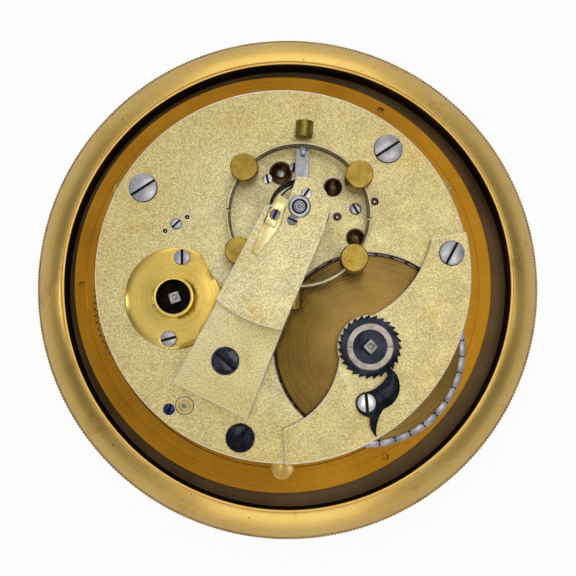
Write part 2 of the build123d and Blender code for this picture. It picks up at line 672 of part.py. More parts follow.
def small_plate_screw_places():
    return [DETENT_SCREW, POTENCE_SCREW, MAINTAINING_SCREW]


def top_plate():
    plate = cyl(CENTRE, TOP_PLATE_R, CEILING_Z, TOP_Z)
    plate = chamfer(plate.edges().filter_by(GeomType.CIRCLE), PLATE_CHAMFER)
    plate -= cyl(BARREL, DRUM_R + CUTOUT_GAP, CEILING_Z - 1, TOP_Z + 1)
    holes = [
        (CENTRE, CENTRE_PIVOT_R + RUNNING), (FUSEE, FUSEE_ARBOR_R + RUNNING),
        (THIRD, TRAIN_BUSH_R + SEATED), (FOURTH, TRAIN_BUSH_R + SEATED),
        (MAINTAINING_PIVOT, TRAIN_BUSH_R + SEATED), (ESCAPE, ESCAPE_SETTING_R + SEATED),
        (BALANCE, impulse_roller_r() + 2 * AIR), (COCK_SCREW, PLATE_SCREW_SHANK_R + SEATED),
        (BRIDGE_PILLAR, PLATE_SCREW_SHANK_R + SEATED), (BRIDGE_PIN, STEADY_PIN_R + SEATED)]
    holes += [(place, STEADY_PIN_R + SEATED) for place in DETENT_PINS + POTENCE_PINS]
    holes += [(place, SMALL_SCREW_SHANK_R + SEATED) for place in fusee_cap_screw_places()]
    holes += [(place, SMALL_SCREW_SHANK_R + SEATED) for place in escape_setting_screw_places()]
    for place, radius in holes:
        plate -= cyl(place, radius, CEILING_Z - 1, TOP_Z + 1)
    for place in PILLARS:
        plate -= sunk_screw_bore(place, PLATE_SCREW_R, PLATE_SCREW_SHANK_R,
                                 plate_screw_seat(TOP_Z), PLATE_SCREW_HEAD_H, CEILING_Z)
    for place in small_plate_screw_places():
        plate -= sunk_screw_bore(place, SMALL_SCREW_R, SMALL_SCREW_SHANK_R,
                                 small_screw_seat(TOP_Z), SMALL_SCREW_HEAD_H, CEILING_Z)
    return plate


def pillar_screws():
    screws = []
    surfaces = [TOP_Z] * len(PILLARS) + [BRIDGE_TOP_Z]
    for place, surface, slot_angle in zip(PILLARS + (BRIDGE_PILLAR,), surfaces, PILLAR_SLOT_ANGLES):
        seat = plate_screw_seat(surface)
        length = seat - CEILING_Z + PLATE_SCREW_LENGTH
        screws.append(screw(place, PLATE_SCREW_R, seat, PLATE_SCREW_HEAD_H, PLATE_SCREW_SHANK_R,
                            length, PLATE_SCREW_SLOT, slot_angle))
    return screws


def barrel_bridge():
    right_rim = polar(TOP_PLATE_R, BRIDGE_RIGHT_RIM_ANGLE)
    right_horn = polar(BRIDGE_HORN_R, BRIDGE_RIGHT_HORN_ANGLE)
    lobe_right = polar(RATCHET_R, BRIDGE_LOBE_ANGLES[0], BARREL)
    lobe_middle = polar(RATCHET_R, BRIDGE_LOBE_ANGLES[1], BARREL)
    lobe_left = polar(RATCHET_R, BRIDGE_LOBE_ANGLES[2], BARREL)
    left_horn = polar(BRIDGE_HORN_R, BRIDGE_LEFT_HORN_ANGLE)
    left_rim = polar(TOP_PLATE_R, BRIDGE_LEFT_RIM_ANGLE)
    outline = Line(right_rim, right_horn)
    outline += ThreePointArc(right_horn, polar(BRIDGE_RIGHT_R, BRIDGE_RIGHT_ANGLE, BARREL), lobe_right)
    outline += ThreePointArc(lobe_right, lobe_middle, lobe_left)
    outline += ThreePointArc(lobe_left, polar(BRIDGE_LEFT_R, BRIDGE_LEFT_ANGLE, BARREL), left_horn)
    outline += Line(left_horn, left_rim)
    middle = (BRIDGE_LEFT_RIM_ANGLE + BRIDGE_RIGHT_RIM_ANGLE) / 2
    outline += ThreePointArc(left_rim, polar(TOP_PLATE_R, middle), right_rim)
    plate = slab(outline, TOP_Z, BRIDGE_TOP_Z)
    plate -= cyl(BARREL, BARREL_BRIDGE_PIVOT_R + RUNNING, TOP_Z - 1, BRIDGE_TOP_Z + 1)
    plate -= cyl(BRIDGE_PIN, STEADY_PIN_R + SEATED, TOP_Z - 1, BRIDGE_TOP_Z + 1)
    plate -= cyl(CLICK_SCREW, SMALL_SCREW_SHANK_R + SEATED, TOP_Z - 1, BRIDGE_TOP_Z + 1)
    plate -= sunk_screw_bore(BRIDGE_PILLAR, PLATE_SCREW_R, PLATE_SCREW_SHANK_R,
                             plate_screw_seat(BRIDGE_TOP_Z), PLATE_SCREW_HEAD_H, TOP_Z)
    return plate


def steady_pins():
    foot = CEILING_Z - PIN_BORE_H + AIR
    pins = [cyl(place, STEADY_PIN_R, foot, TOP_Z) for place in DETENT_PINS + POTENCE_PINS]
    pins.append(cyl(BRIDGE_PIN, STEADY_PIN_R, CEILING_Z, BRIDGE_TOP_Z - 0.6))
    return pins


# Bushes and jewel settings in the top plate

def sunk_bush(place, radius, pivot_r, sink_r):
    """A plug with an oil sink round its pivot hole."""
    bore = pivot_r + RUNNING
    sink_floor = TOP_Z - OIL_SINK_DEPTH
    return turned(place, [
        (bore, CEILING_Z), (radius, CEILING_Z), (radius, TOP_Z), (sink_r, TOP_Z),
        (bore + OIL_SINK_FLOOR_W, sink_floor), (bore, sink_floor)])


def plate_bushes():
    return [
        sunk_bush(THIRD, TRAIN_BUSH_R, PIVOT_R, TRAIN_BUSH_R - BUSH_RIM_W),
        sunk_bush(FOURTH, TRAIN_BUSH_R, PIVOT_R, TRAIN_BUSH_R - BUSH_RIM_W),
        sunk_bush(ESCAPE, ESCAPE_SETTING_R, PIVOT_R, ESCAPE_SETTING_R - SETTING_RIM_W),
        sunk_bush(MAINTAINING_PIVOT, TRAIN_BUSH_R, PIVOT_R, TRAIN_BUSH_R - SETTING_RIM_W)]


def escape_setting_screw_places():
    reach = ESCAPE_SETTING_R + SETTING_SCREW_R - 0.25
    return [polar(reach, ESCAPE_SETTING_SCREW_ANGLE + turn, ESCAPE) for turn in (0.0, 180.0)]


def cock_setting_screw_places():
    reach = COCK_SETTING_R + SETTING_SCREW_R - 0.15
    return [polar(reach, COCK_SETTING_SCREW_ANGLE + turn, BALANCE) for turn in (0.0, 180.0)]


def jewel_setting_screws():
    screws = []
    for place in escape_setting_screw_places():
        screws.append(screw(place, SETTING_SCREW_R, TOP_Z, SETTING_SCREW_H, SMALL_SCREW_SHANK_R,
                            TOP_PLATE_T, SMALL_SCREW_SLOT, SETTING_SLOT_ANGLE))
    for place in cock_setting_screw_places():
        screws.append(screw(place, SETTING_SCREW_R, COCK_TOP_Z, SETTING_SCREW_H,
                            SMALL_SCREW_SHANK_R, COCK_ARM_T - AIR, SMALL_SCREW_SLOT,
                            SETTING_SLOT_ANGLE))
    return screws


def small_plate_screws():
    screws = []
    for place in small_plate_screw_places():
        seat = small_screw_seat(TOP_Z)
        screws.append(screw(place, SMALL_SCREW_R, seat, SMALL_SCREW_HEAD_H, SMALL_SCREW_SHANK_R,
                            TOP_PLATE_T + SMALL_SCREW_REACH, SMALL_SCREW_SLOT,
                            SMALL_SLOT_ANGLE))
    for place in fusee_cap_screw_places():
        screws.append(screw(place, FUSEE_CAP_SCREW_R, TOP_Z + FUSEE_CAP_T / 2, FUSEE_CAP_T,
                            SMALL_SCREW_SHANK_R, TOP_PLATE_T, PLATE_SCREW_SLOT, CAP_SLOT_ANGLE))
    return screws


# Balance cock

def cock_outline():
    tip_start = polar(COCK_TIP_R, direction(BALANCE, COCK_SHOULDER_RIGHT), BALANCE)
    tip_end = polar(COCK_TIP_R, direction(BALANCE, COCK_TIP_CORNER), BALANCE)
    outline = ThreePointArc(tip_start, polar(COCK_TIP_R, 32.0, BALANCE), tip_end)
    outline += Polyline(
        tip_end, COCK_NOTCH, COCK_SHOULDER_LEFT, COCK_FOOT_INNER_LEFT, COCK_FOOT_OUTER_LEFT,
        COCK_FOOT_OUTER_RIGHT, COCK_FOOT_INNER_RIGHT, tip_start)
    return outline


def balance_cock():
    outline = cock_outline()
    arm = slab(outline, COCK_ARM_BOTTOM, COCK_TOP_Z)
    arm &= cyl(BALANCE, COCK_STEP_R, COCK_ARM_BOTTOM - 1, COCK_TOP_Z + 1)
    foot = slab(outline, TOP_Z, TOP_Z + COCK_FOOT_H)
    foot -= cyl(BALANCE, COCK_RISER_R, TOP_Z - 1, COCK_TOP_Z + 1)
    riser = slab(outline, TOP_Z + COCK_FOOT_H / 2, COCK_TOP_Z - COCK_ARM_T / 2)
    riser &= tube(BALANCE, COCK_STEP_R, COCK_RISER_R, TOP_Z, COCK_TOP_Z)
    cock = arm + riser + foot
    cock -= prism(COCK_POCKET, COCK_TOP_Z - COCK_POCKET_DEPTH, COCK_TOP_Z + 1)
    cock -= stud_block(SEATED)
    cock -= cyl(stud_post_place(), STUD_POST_R + AIR, COCK_ARM_BOTTOM - 1, COCK_TOP_Z)
    cock -= cyl(BALANCE, COCK_SETTING_R + SEATED, COCK_ARM_BOTTOM - 1, COCK_TOP_Z + 1)
    for place in cock_setting_screw_places():
        cock -= cyl(place, SMALL_SCREW_SHANK_R + SEATED, COCK_ARM_BOTTOM, COCK_TOP_Z + 1)
    cock -= cyl(stud_screw_place(), SMALL_SCREW_SHANK_R + SEATED, COCK_ARM_BOTTOM, COCK_TOP_Z + 1)
    foot_top = TOP_Z + COCK_FOOT_H
    cock -= sunk_screw_bore(COCK_SCREW, PLATE_SCREW_R, PLATE_SCREW_SHANK_R,
                            plate_screw_seat(foot_top), PLATE_SCREW_HEAD_H, TOP_Z)
    return cock


def balance_cock_screw():
    seat = plate_screw_seat(TOP_Z + COCK_FOOT_H)
    length = seat - CEILING_Z
    return screw(COCK_SCREW, PLATE_SCREW_R, seat, PLATE_SCREW_HEAD_H, PLATE_SCREW_SHANK_R,
                 length, PLATE_SCREW_SLOT, COCK_SLOT_ANGLE)


def cock_jewel_setting():
    bore = STAFF_PIVOT_R + RUNNING
    cap_r = COCK_SETTING_R - 0.65
    return turned(BALANCE, [
        (bore, COCK_ARM_BOTTOM), (COCK_SETTING_R, COCK_ARM_BOTTOM), (COCK_SETTING_R, COCK_TOP_Z),
        (cap_r, COCK_TOP_Z), (cap_r - 0.3, COCK_TOP_Z + SETTING_SCREW_H), (0, COCK_TOP_Z + SETTING_SCREW_H),
        (0, COCK_TOP_Z - 0.6), (bore, COCK_TOP_Z - 0.6)])


def stud_axis():
    """The stud block's line, along the cock's left edge."""
    return direction(COCK_FOOT_INNER_LEFT, COCK_SHOULDER_LEFT)


def stud_screw_place():
    return polar(STUD_SCREW_R, STUD_SCREW_ANGLE, BALANCE)


def stud_block(play):
    low = COCK_TOP_Z - COCK_POCKET_DEPTH
    high = COCK_TOP_Z + STUD_BLOCK_RISE
    centre = polar(STUD_BLOCK_L / 2 - STUD_BLOCK_TAIL, stud_axis(), stud_screw_place())
    return bar(centre, STUD_BLOCK_L + 2 * play, STUD_BLOCK_W + 2 * play, low, high, stud_axis())


def stud_post_place():
    reach = STUD_BLOCK_L - STUD_BLOCK_TAIL - STUD_POST_R
    return polar(reach, stud_axis(), stud_screw_place())


def spring_stud():
    low = COCK_TOP_Z - COCK_POCKET_DEPTH
    high = COCK_TOP_Z + STUD_BLOCK_RISE
    block = stud_block(0.0)
    block += cyl(stud_post_place(), STUD_POST_R, spring_top() - SPRING_WIRE_H, (low + high) / 2)
    return block - cyl(stud_screw_place(), SMALL_SCREW_SHANK_R + SEATED, low - 1, high + 1)


def spring_stud_screw():
    return screw(stud_screw_place(), SETTING_SCREW_R, COCK_TOP_Z + STUD_BLOCK_RISE,
                 SETTING_SCREW_H, SMALL_SCREW_SHANK_R, COCK_ARM_T, SMALL_SCREW_SLOT,
                 STUD_SLOT_ANGLE)


# Fusee cap with its dust tube

def fusee_cap_screw_places():
    return [polar(FUSEE_CAP_SCREW_CIRCLE_R, angle, FUSEE) for angle in FUSEE_CAP_SCREW_ANGLES]


def fusee_cap():
    inner = FUSEE_TUBE_R - FUSEE_TUBE_WALL
    base_top = TOP_Z + FUSEE_CAP_T
    cap = turned(FUSEE, [
        (inner, TOP_Z), (FUSEE_CAP_R, TOP_Z), (FUSEE_CAP_R, base_top - PLATE_CHAMFER),
        (FUSEE_CAP_R - PLATE_CHAMFER, base_top),
        (FUSEE_TUBE_R + FUSEE_CAP_FILLET_FOOT, base_top + FUSEE_CAP_RISE / 2),
        (FUSEE_TUBE_R + FUSEE_CAP_FILLET_NECK, base_top + FUSEE_CAP_RISE),
        (FUSEE_TUBE_R, base_top + FUSEE_CAP_RISE + FUSEE_CAP_FILLET_H),
        (FUSEE_TUBE_R, TOP_Z + FUSEE_TUBE_H), (inner, TOP_Z + FUSEE_TUBE_H)])
    cap -= cyl(BALANCE, FUSEE_CAP_BALANCE_R, TOP_Z - 1, TOP_Z + FUSEE_TUBE_H)
    edge_dir = direction(COCK_FOOT_INNER_LEFT, COCK_FOOT_OUTER_LEFT)
    half = distance(COCK_FOOT_INNER_LEFT, COCK_FOOT_OUTER_LEFT) / 2
    middle = along(COCK_FOOT_INNER_LEFT, COCK_FOOT_OUTER_LEFT, half,
                   FUSEE_CAP_TRIM_W / 2 - 2 * AIR)
    cap -= bar(middle, FUSEE_CAP_TRIM_L, FUSEE_CAP_TRIM_W, TOP_Z - 1, TOP_Z + FUSEE_TUBE_H + 1,
               edge_dir)
    for place in fusee_cap_screw_places():
        cap -= cyl(place, FUSEE_CAP_SCREW_R + 2 * SEATED, TOP_Z + FUSEE_CAP_T / 2, TOP_Z + FUSEE_TUBE_H)
        cap -= cyl(place, SMALL_SCREW_SHANK_R + SEATED, TOP_Z - 1, base_top)
    return cap


# Barrel, mainspring, ratchet and click

def barrel_drum():
    bore = BARREL_SHOULDER_R
    floor_top = DRUM_BOTTOM + DRUM_WALL
    return turned(BARREL, [
        (bore + RUNNING, DRUM_BOTTOM), (DRUM_R, DRUM_BOTTOM), (DRUM_R, DRUM_TOP),
        (DRUM_R - DRUM_WALL, DRUM_TOP), (DRUM_R - DRUM_WALL, floor_top),
        (bore + RUNNING, floor_top)])


def barrel_cover():
    bore = BARREL_NECK_R + RUNNING
    return turned(BARREL, [
        (bore, DRUM_TOP), (DRUM_R, DRUM_TOP), (DRUM_R, COVER_TOP - PLATE_CHAMFER),
        (DRUM_R - PLATE_CHAMFER, COVER_TOP), (bore, COVER_TOP)])


def barrel_arbor():
    square_top = BRIDGE_TOP_Z + WINDING_SQUARE_TOP
    body_low = DRUM_BOTTOM + DRUM_WALL + RUNNING
    body = turned(BARREL, [
        (0, PILLAR_PLATE_Z), (BARREL_PIVOT_R, PILLAR_PLATE_Z), (BARREL_PIVOT_R, FLOOR_Z + SEATED),
        (BARREL_SHOULDER_R, FLOOR_Z + SEATED), (BARREL_SHOULDER_R, body_low),
        (BARREL_ARBOR_R, body_low), (BARREL_ARBOR_R, DRUM_TOP - RUNNING),
        (BARREL_NECK_R, DRUM_TOP - RUNNING), (BARREL_NECK_R, TOP_Z - SEATED),
        (BARREL_BRIDGE_PIVOT_R, TOP_Z - SEATED),
        (BARREL_BRIDGE_PIVOT_R, RATCHET_Z), (0, RATCHET_Z)])
    body += bar(BARREL, WINDING_SQUARE, WINDING_SQUARE, RATCHET_Z - 1, square_top,
                WINDING_SQUARE_ANGLE)
    return body - cyl(BARREL, SQUARE_HOLE_R, square_top - SQUARE_HOLE_DEPTH, square_top + 1)


def mainspring():
    """A flat spiral strip, from the arbor's side out to the drum's wall."""
    inner = BARREL_ARBOR_R + 3 * AIR
    outer = DRUM_R - DRUM_WALL - SPRING_T - SEATED
    steps = 12 * SPRING_TURNS
    near = []
    far = []
    for i in range(steps + 1):
        radius = inner + (outer - inner) * i / steps
        near.append(polar(radius, 30.0 * i, BARREL))
        far.append(polar(radius + SPRING_T, 30.0 * i, BARREL))
    low = DRUM_BOTTOM + DRUM_WALL + SPRING_EDGE_GAP
    return prism(near + far[::-1], low, DRUM_TOP - SPRING_EDGE_GAP)


def ratchet_wheel():
    step = 360.0 / RATCHET_TEETH
    points = []
    for i in range(RATCHET_TEETH):
        points.append(polar(RATCHET_R, RATCHET_PHASE - i * step, BARREL))
        points.append(polar(RATCHET_R - RATCHET_TOOTH_H, RATCHET_PHASE - (i + 0.04) * step, BARREL))
    wheel = prism(points, RATCHET_Z, RATCHET_Z + RATCHET_T)
    side = WINDING_SQUARE + 2 * SEATED
    return wheel - bar(BARREL, side, side, RATCHET_Z - 1, RATCHET_Z + RATCHET_T + 1,
                       WINDING_SQUARE_ANGLE)


def ratchet_collar():
    low = RATCHET_Z + RATCHET_T
    ring = tube(BARREL, RATCHET_COLLAR_R, RATCHET_COLLAR_IN_R, low, low + RATCHET_COLLAR_H)
    for angle in (0.0, 180.0):
        place = polar((RATCHET_COLLAR_R + RATCHET_COLLAR_IN_R) / 2, angle, BARREL)
        ring -= bar(place, 1.2, 0.2, low + RATCHET_COLLAR_H - 0.2, low + RATCHET_COLLAR_H + 1, angle)
    return ring


def click():
    """An S-shaped pawl: a beak against a tooth, a boss round its screw and a curved tail."""
    beak = polar(RATCHET_R - RATCHET_TOOTH_H + 0.15, CLICK_BEAK_ANGLE, BARREL)
    beak_back = polar(RATCHET_R + 0.55, CLICK_BEAK_ANGLE + 0.6, BARREL)
    bulge = at(0.5737, -0.5580)
    tail_root = at(0.4955, -0.6607)
    tail_tip = at(0.4598, -0.7991)
    tail_left = at(0.4286, -0.7009)
    boss_left = polar(CLICK_BOSS_R, CLICK_BOSS_ANGLES[0], CLICK_SCREW)
    boss_middle = polar(CLICK_BOSS_R, CLICK_BOSS_ANGLES[1], CLICK_SCREW)
    boss_top = polar(CLICK_BOSS_R, CLICK_BOSS_ANGLES[2], CLICK_SCREW)
    outline = Line(beak, beak_back)
    outline += ThreePointArc(beak_back, bulge, tail_root)
    outline += ThreePointArc(tail_root, at(0.4688, -0.7098), tail_tip)
    outline += ThreePointArc(tail_tip, at(0.4308, -0.7522), tail_left)
    outline += ThreePointArc(tail_left, at(0.3772, -0.6786), boss_left)
    outline += ThreePointArc(boss_left, boss_middle, boss_top)
    outline += ThreePointArc(boss_top, at(0.4598, -0.5580), beak)
    low = RATCHET_Z
    body = slab(outline, low, low + CLICK_T)
    return body - cyl(CLICK_SCREW, CLICK_PIVOT_R + RUNNING, low - 1, low + CLICK_T + 1)


def click_screw():
    shoulder_low = BRIDGE_TOP_Z
    head_z = RATCHET_Z + CLICK_T + RUNNING
    body = cyl(CLICK_SCREW, CLICK_SCREW_R, head_z, head_z + SMALL_SCREW_HEAD_H)
    body += cyl(CLICK_SCREW, CLICK_PIVOT_R, shoulder_low, head_z)
    body += cyl(CLICK_SCREW, SMALL_SCREW_SHANK_R, TOP_Z, shoulder_low)
    top = head_z + SMALL_SCREW_HEAD_H
    return body - bar(CLICK_SCREW, 3 * CLICK_SCREW_R, PLATE_SCREW_SLOT, top - SCREW_SLOT_DEPTH, top + 1,
                      CLICK_SLOT_ANGLE)


# Fusee, great wheel and chain

def fusee_radius(z):
    """The cone's hollow profile: its radius falls fast near the base and slowly near the top."""
    share = (z - FUSEE_CONE_Z) / (FUSEE_TURNS * (FUSEE_GROOVE_H + FUSEE_LAND_H))
    share = min(max(share, 0.0), 1.0)
    return FUSEE_BASE_R / (1 + share * (FUSEE_BASE_R / FUSEE_TOP_R - 1))


def fusee_cone():
    pitch = FUSEE_GROOVE_H + FUSEE_LAND_H
    bore = FUSEE_ARBOR_R + SEATED
    z = FUSEE_CONE_Z
    profile = [(bore, z), (fusee_radius(z), z)]
    for turn in range(FUSEE_TURNS):
        land = FUSEE_CONE_Z + turn * pitch + FUSEE_LAND_H
        groove_r = fusee_radius(land + FUSEE_GROOVE_H / 2) - FUSEE_GROOVE_DEPTH
        profile.append((groove_r, land))
        profile.append((groove_r, land + FUSEE_GROOVE_H))
        profile.append((fusee_radius(land + FUSEE_GROOVE_H), land + FUSEE_GROOVE_H))
    top = FUSEE_CONE_Z + FUSEE_TURNS * pitch + FUSEE_LAND_H
    profile += [(FUSEE_TOP_R, top), (bore, top)]
    return turned(FUSEE, profile)


def fusee_arbor():
    tube_top = TOP_Z + FUSEE_TUBE_H
    square_low = TOP_Z - SQUARE_SHOULDER_DROP
    square_top = tube_top - FUSEE_SQUARE_SUNK
    pinion_low = UP_DOWN_WHEEL_Z - PINION_MARGIN
    pinion_top = UP_DOWN_WHEEL_Z + UP_DOWN_WHEEL_T + PINION_MARGIN
    body = turned(FUSEE, [
        (0, pinion_top), (FUSEE_PIVOT_R, pinion_top), (FUSEE_PIVOT_R, FLOOR_Z + SEATED),
        (FUSEE_ARBOR_R, FLOOR_Z + SEATED), (FUSEE_ARBOR_R, square_low), (0, square_low)])
    body += bar(FUSEE, FUSEE_SQUARE, FUSEE_SQUARE, square_low - 1, square_top, FUSEE_SQUARE_ANGLE)
    body += pinion(FUSEE, UP_DOWN_PINION_LEAVES, UP_DOWN_PINION_PR, UP_DOWN_PINION_PHASE,
                   pinion_low, pinion_top - pinion_low)
    return body - cyl(FUSEE, SQUARE_HOLE_R, square_top - SQUARE_HOLE_DEPTH, square_top + 1)


def great_wheel():
    return train_wheel(FUSEE, GREAT_TEETH, GREAT_PR, GREAT_PHASE, FLOOR_Z + GREAT_WHEEL_Z,
                       GREAT_WHEEL_T, FUSEE_ARBOR_R + SEATED, spokes=5)


def maintaining_r():
    return GREAT_PR - WHEEL_RIM + 1.0


def maintaining_ratchet():
    step = 360.0 / MAINTAINING_TEETH
    tip = maintaining_r()
    points = []
    for i in range(MAINTAINING_TEETH):
        points.append(polar(tip, i * step, FUSEE))
        points.append(polar(tip - 0.5, (i + 0.1) * step, FUSEE))
    low = GREAT_TOP
    ring = prism(points, low, low + MAINTAINING_T)
    ring = spoked(FUSEE, ring, tip - 2.4, WHEEL_HUB_R + 2.0, low, low + MAINTAINING_T, 3, 30.0, 3.0)
    return ring - cyl(FUSEE, FUSEE_ARBOR_R + SEATED, low - 1, low + MAINTAINING_T + 1)


def chain_path():
    """Link centres and headings: round the barrel, across to the fusee and round its groove."""
    z = FLOOR_Z + CHAIN_Z
    barrel_r = DRUM_R + CHAIN_GAP + CHAIN_W / 2
    fusee_r = chain_groove_r(z) + CHAIN_GAP + CHAIN_W / 2
    normal = direction(FUSEE, BARREL) + degrees(acos((fusee_r - barrel_r) / distance(FUSEE, BARREL)))
    leave = polar(barrel_r, normal, BARREL)
    meet = polar(fusee_r, normal, FUSEE)
    stations = []
    barrel_step = degrees(CHAIN_PITCH / barrel_r)
    count = int(CHAIN_BARREL_TURN / barrel_step)
    for i in range(count, 0, -1):
        angle = normal - (i - 0.5) * barrel_step
        stations.append((polar(barrel_r, angle, BARREL), angle + 90.0))
    run = distance(leave, meet)
    links = int(run / CHAIN_PITCH)
    for i in range(links):
        stations.append((along(leave, meet, (i + 0.5) * run / links), direction(leave, meet)))
    fusee_step = degrees(CHAIN_PITCH / fusee_r)
    count = int(CHAIN_FUSEE_TURN / fusee_step)
    for i in range(count):
        angle = normal + (i + 0.5) * fusee_step
        stations.append((polar(fusee_r, angle, FUSEE), angle + 90.0))
    return stations


def chain_groove_r(z):
    pitch = FUSEE_GROOVE_H + FUSEE_LAND_H
    turn = int((z - FUSEE_CONE_Z) / pitch)
    middle = FUSEE_CONE_Z + turn * pitch + FUSEE_LAND_H + FUSEE_GROOVE_H / 2
    return fusee_radius(middle) - FUSEE_GROOVE_DEPTH


def chain_level():
    """The middle of the fusee groove that the chain lies in."""
    pitch = FUSEE_GROOVE_H + FUSEE_LAND_H
    turn = int((FLOOR_Z + CHAIN_Z - FUSEE_CONE_Z) / pitch)
    return FUSEE_CONE_Z + turn * pitch + FUSEE_LAND_H + FUSEE_GROOVE_H / 2


def fusee_chain():
    """Riveted links, alternately a broad outer link and the narrow end of an inner one."""
    half_l = CHAIN_LINK_L / 2
    half_w = CHAIN_W / 2
    nose = CHAIN_NECK_W / 2
    body_half = half_l - (half_w - nose)
    outline = [(-half_l, -nose), (-body_half, -half_w), (body_half, -half_w), (half_l, -nose),
               (half_l, nose), (body_half, half_w), (-body_half, half_w), (-half_l, nose)]
    z = chain_level()
    link = prism(outline, z - CHAIN_H / 2, z + CHAIN_H / 2)
    neck_l = CHAIN_PITCH - CHAIN_LINK_L - 2 * SEATED
    neck = bar((CHAIN_PITCH / 2, 0.0), neck_l, CHAIN_NECK_W * 0.9,
               z - CHAIN_NECK_H / 2, z + CHAIN_NECK_H / 2)
    pieces = []
    for place, heading in chain_path():
        spot = Pos(place[0], place[1], 0) * Rot(0, 0, heading)
        pieces.append(spot * link)
        pieces.append(spot * neck)
    return pieces


# Going train

def centre_wheel():
    return train_wheel(CENTRE, CENTRE_TEETH, CENTRE_PR, CENTRE_PHASE, FLOOR_Z + CENTRE_WHEEL_Z,
                       CENTRE_WHEEL_T, CENTRE_ARBOR_R + SEATED)


def centre_arbor():
    pinion_low = FLOOR_Z + CENTRE_PINION_Z
    body = turned(CENTRE, [
        (0, MINUTE_HAND_Z - 0.6), (CANNON_BORE_R - SEATED, MINUTE_HAND_Z - 0.6),
        (CANNON_BORE_R - SEATED, CANNON_Z + CANNON_H), (CENTRE_ARBOR_R, CANNON_Z + CANNON_H),
        (CENTRE_ARBOR_R, CEILING_Z - AIR), (CENTRE_PIVOT_R, CEILING_Z - AIR),
        (CENTRE_PIVOT_R, TOP_Z), (0, TOP_Z)])
    return body + pinion(CENTRE, CENTRE_PINION_LEAVES, CENTRE_PINION_PR, CENTRE_PINION_PHASE,
                         pinion_low, CENTRE_PINION_H)


def cannon_pinion():
    low = MINUTE_HAND_Z
    body = cyl(CENTRE, CANNON_R, low, CANNON_Z + CANNON_H)
    body += pinion(CENTRE, CANNON_LEAVES, CANNON_PR, CANNON_PHASE, CANNON_Z, CANNON_H)
    return body - cyl(CENTRE, CANNON_BORE_R, low - 1, CANNON_Z + CANNON_H + 1)


def third_wheel():
    return train_wheel(THIRD, THIRD_TEETH, THIRD_PR, THIRD_PHASE, FLOOR_Z + THIRD_WHEEL_Z,
                       THIRD_WHEEL_T, ARBOR_R + SEATED)


def third_arbor():
    body = pivoted_arbor(THIRD, PILLAR_PLATE_Z, TOP_Z - 0.8, ARBOR_R, PIVOT_R,
                         FLOOR_Z + RUNNING, CEILING_Z - RUNNING)
    return body + pinion(THIRD, THIRD_PINION_LEAVES, THIRD_PINION_PR, THIRD_PINION_PHASE,
                         FLOOR_Z + THIRD_PINION_Z, THIRD_PINION_H)


def fourth_wheel():
    return train_wheel(FOURTH, FOURTH_TEETH, FOURTH_PR, FOURTH_PHASE, FLOOR_Z + FOURTH_WHEEL_Z,
                       FOURTH_WHEEL_T, ARBOR_R + SEATED)


def fourth_arbor():
    body = pivoted_arbor(FOURTH, SECONDS_HAND_Z - 0.2, TOP_Z - 0.8, ARBOR_R, PIVOT_R,
                         FLOOR_Z + RUNNING, CEILING_Z - RUNNING)
    return body + pinion(FOURTH, FOURTH_PINION_LEAVES, FOURTH_PINION_PR, FOURTH_PINION_PHASE,
                         FLOOR_Z + FOURTH_PINION_Z, FOURTH_PINION_H)


def escape_wheel():
    """Pointed teeth that lean the way the wheel turns, on a light three-spoked rim."""
    step = 360.0 / ESCAPE_TEETH
    points = []
    for i in range(ESCAPE_TEETH):
        tip = ESCAPE_PHASE + i * step
        points.append(polar(ESCAPE_R, tip, ESCAPE))
        points.append(polar(ESCAPE_R, tip + 0.06 * step, ESCAPE))
        points.append(polar(ESCAPE_RIM_R + 0.5, tip + 0.42 * step, ESCAPE))
        points.append(polar(ESCAPE_RIM_R, tip + 0.7 * step, ESCAPE))
        points.append(polar(ESCAPE_RIM_R, tip + 0.95 * step, ESCAPE))
    low = ESCAPE_WHEEL_BOTTOM
    wheel = prism(points, low, low + ESCAPE_WHEEL_T)
    wheel = spoked(ESCAPE, wheel, ESCAPE_RIM_R - 0.9, ESCAPE_HUB_R, low, low + ESCAPE_WHEEL_T,
                   4, 45.0, 0.9)
    return wheel - cyl(ESCAPE, ARBOR_R + SEATED, low - 1, low + ESCAPE_WHEEL_T + 1)


def escape_arbor():
    body = pivoted_arbor(ESCAPE, PILLAR_PLATE_Z, TOP_Z - 0.8, ARBOR_R, PIVOT_R,
                         FLOOR_Z + RUNNING, CEILING_Z - RUNNING)
    return body + pinion(ESCAPE, ESCAPE_PINION_LEAVES, ESCAPE_PINION_PR, ESCAPE_PINION_PHASE,
                         FLOOR_Z + ESCAPE_PINION_Z, ESCAPE_PINION_H)


# Motion work and hands

def minute_wheel():
    """The minute wheel on its pinion and pivot, behind the dial."""
    wheel = prism(gear_points(MINUTE, MINUTE_TEETH, MINUTE_PR, MINUTE_PHASE, ADDENDUM,
                              WHEEL_DEDENDUM, TOOTH_TIP_SHARE, TOOTH_ROOT_SHARE),
                  CANNON_Z + 0.2, CANNON_Z + CANNON_H - 0.3)
    wheel += pinion(MINUTE, MINUTE_PINION_LEAVES, MINUTE_PINION_PR, MINUTE_PINION_PHASE,
                    HOUR_WHEEL_Z - 0.1, HOUR_WHEEL_T + 0.3)
    wheel += cyl(MINUTE, PIVOT_R + 0.3, HOUR_WHEEL_Z, PILLAR_PLATE_Z - RUNNING)
    return wheel + cyl(MINUTE, PIVOT_R, PILLAR_PLATE_Z - 1, FLOOR_Z)


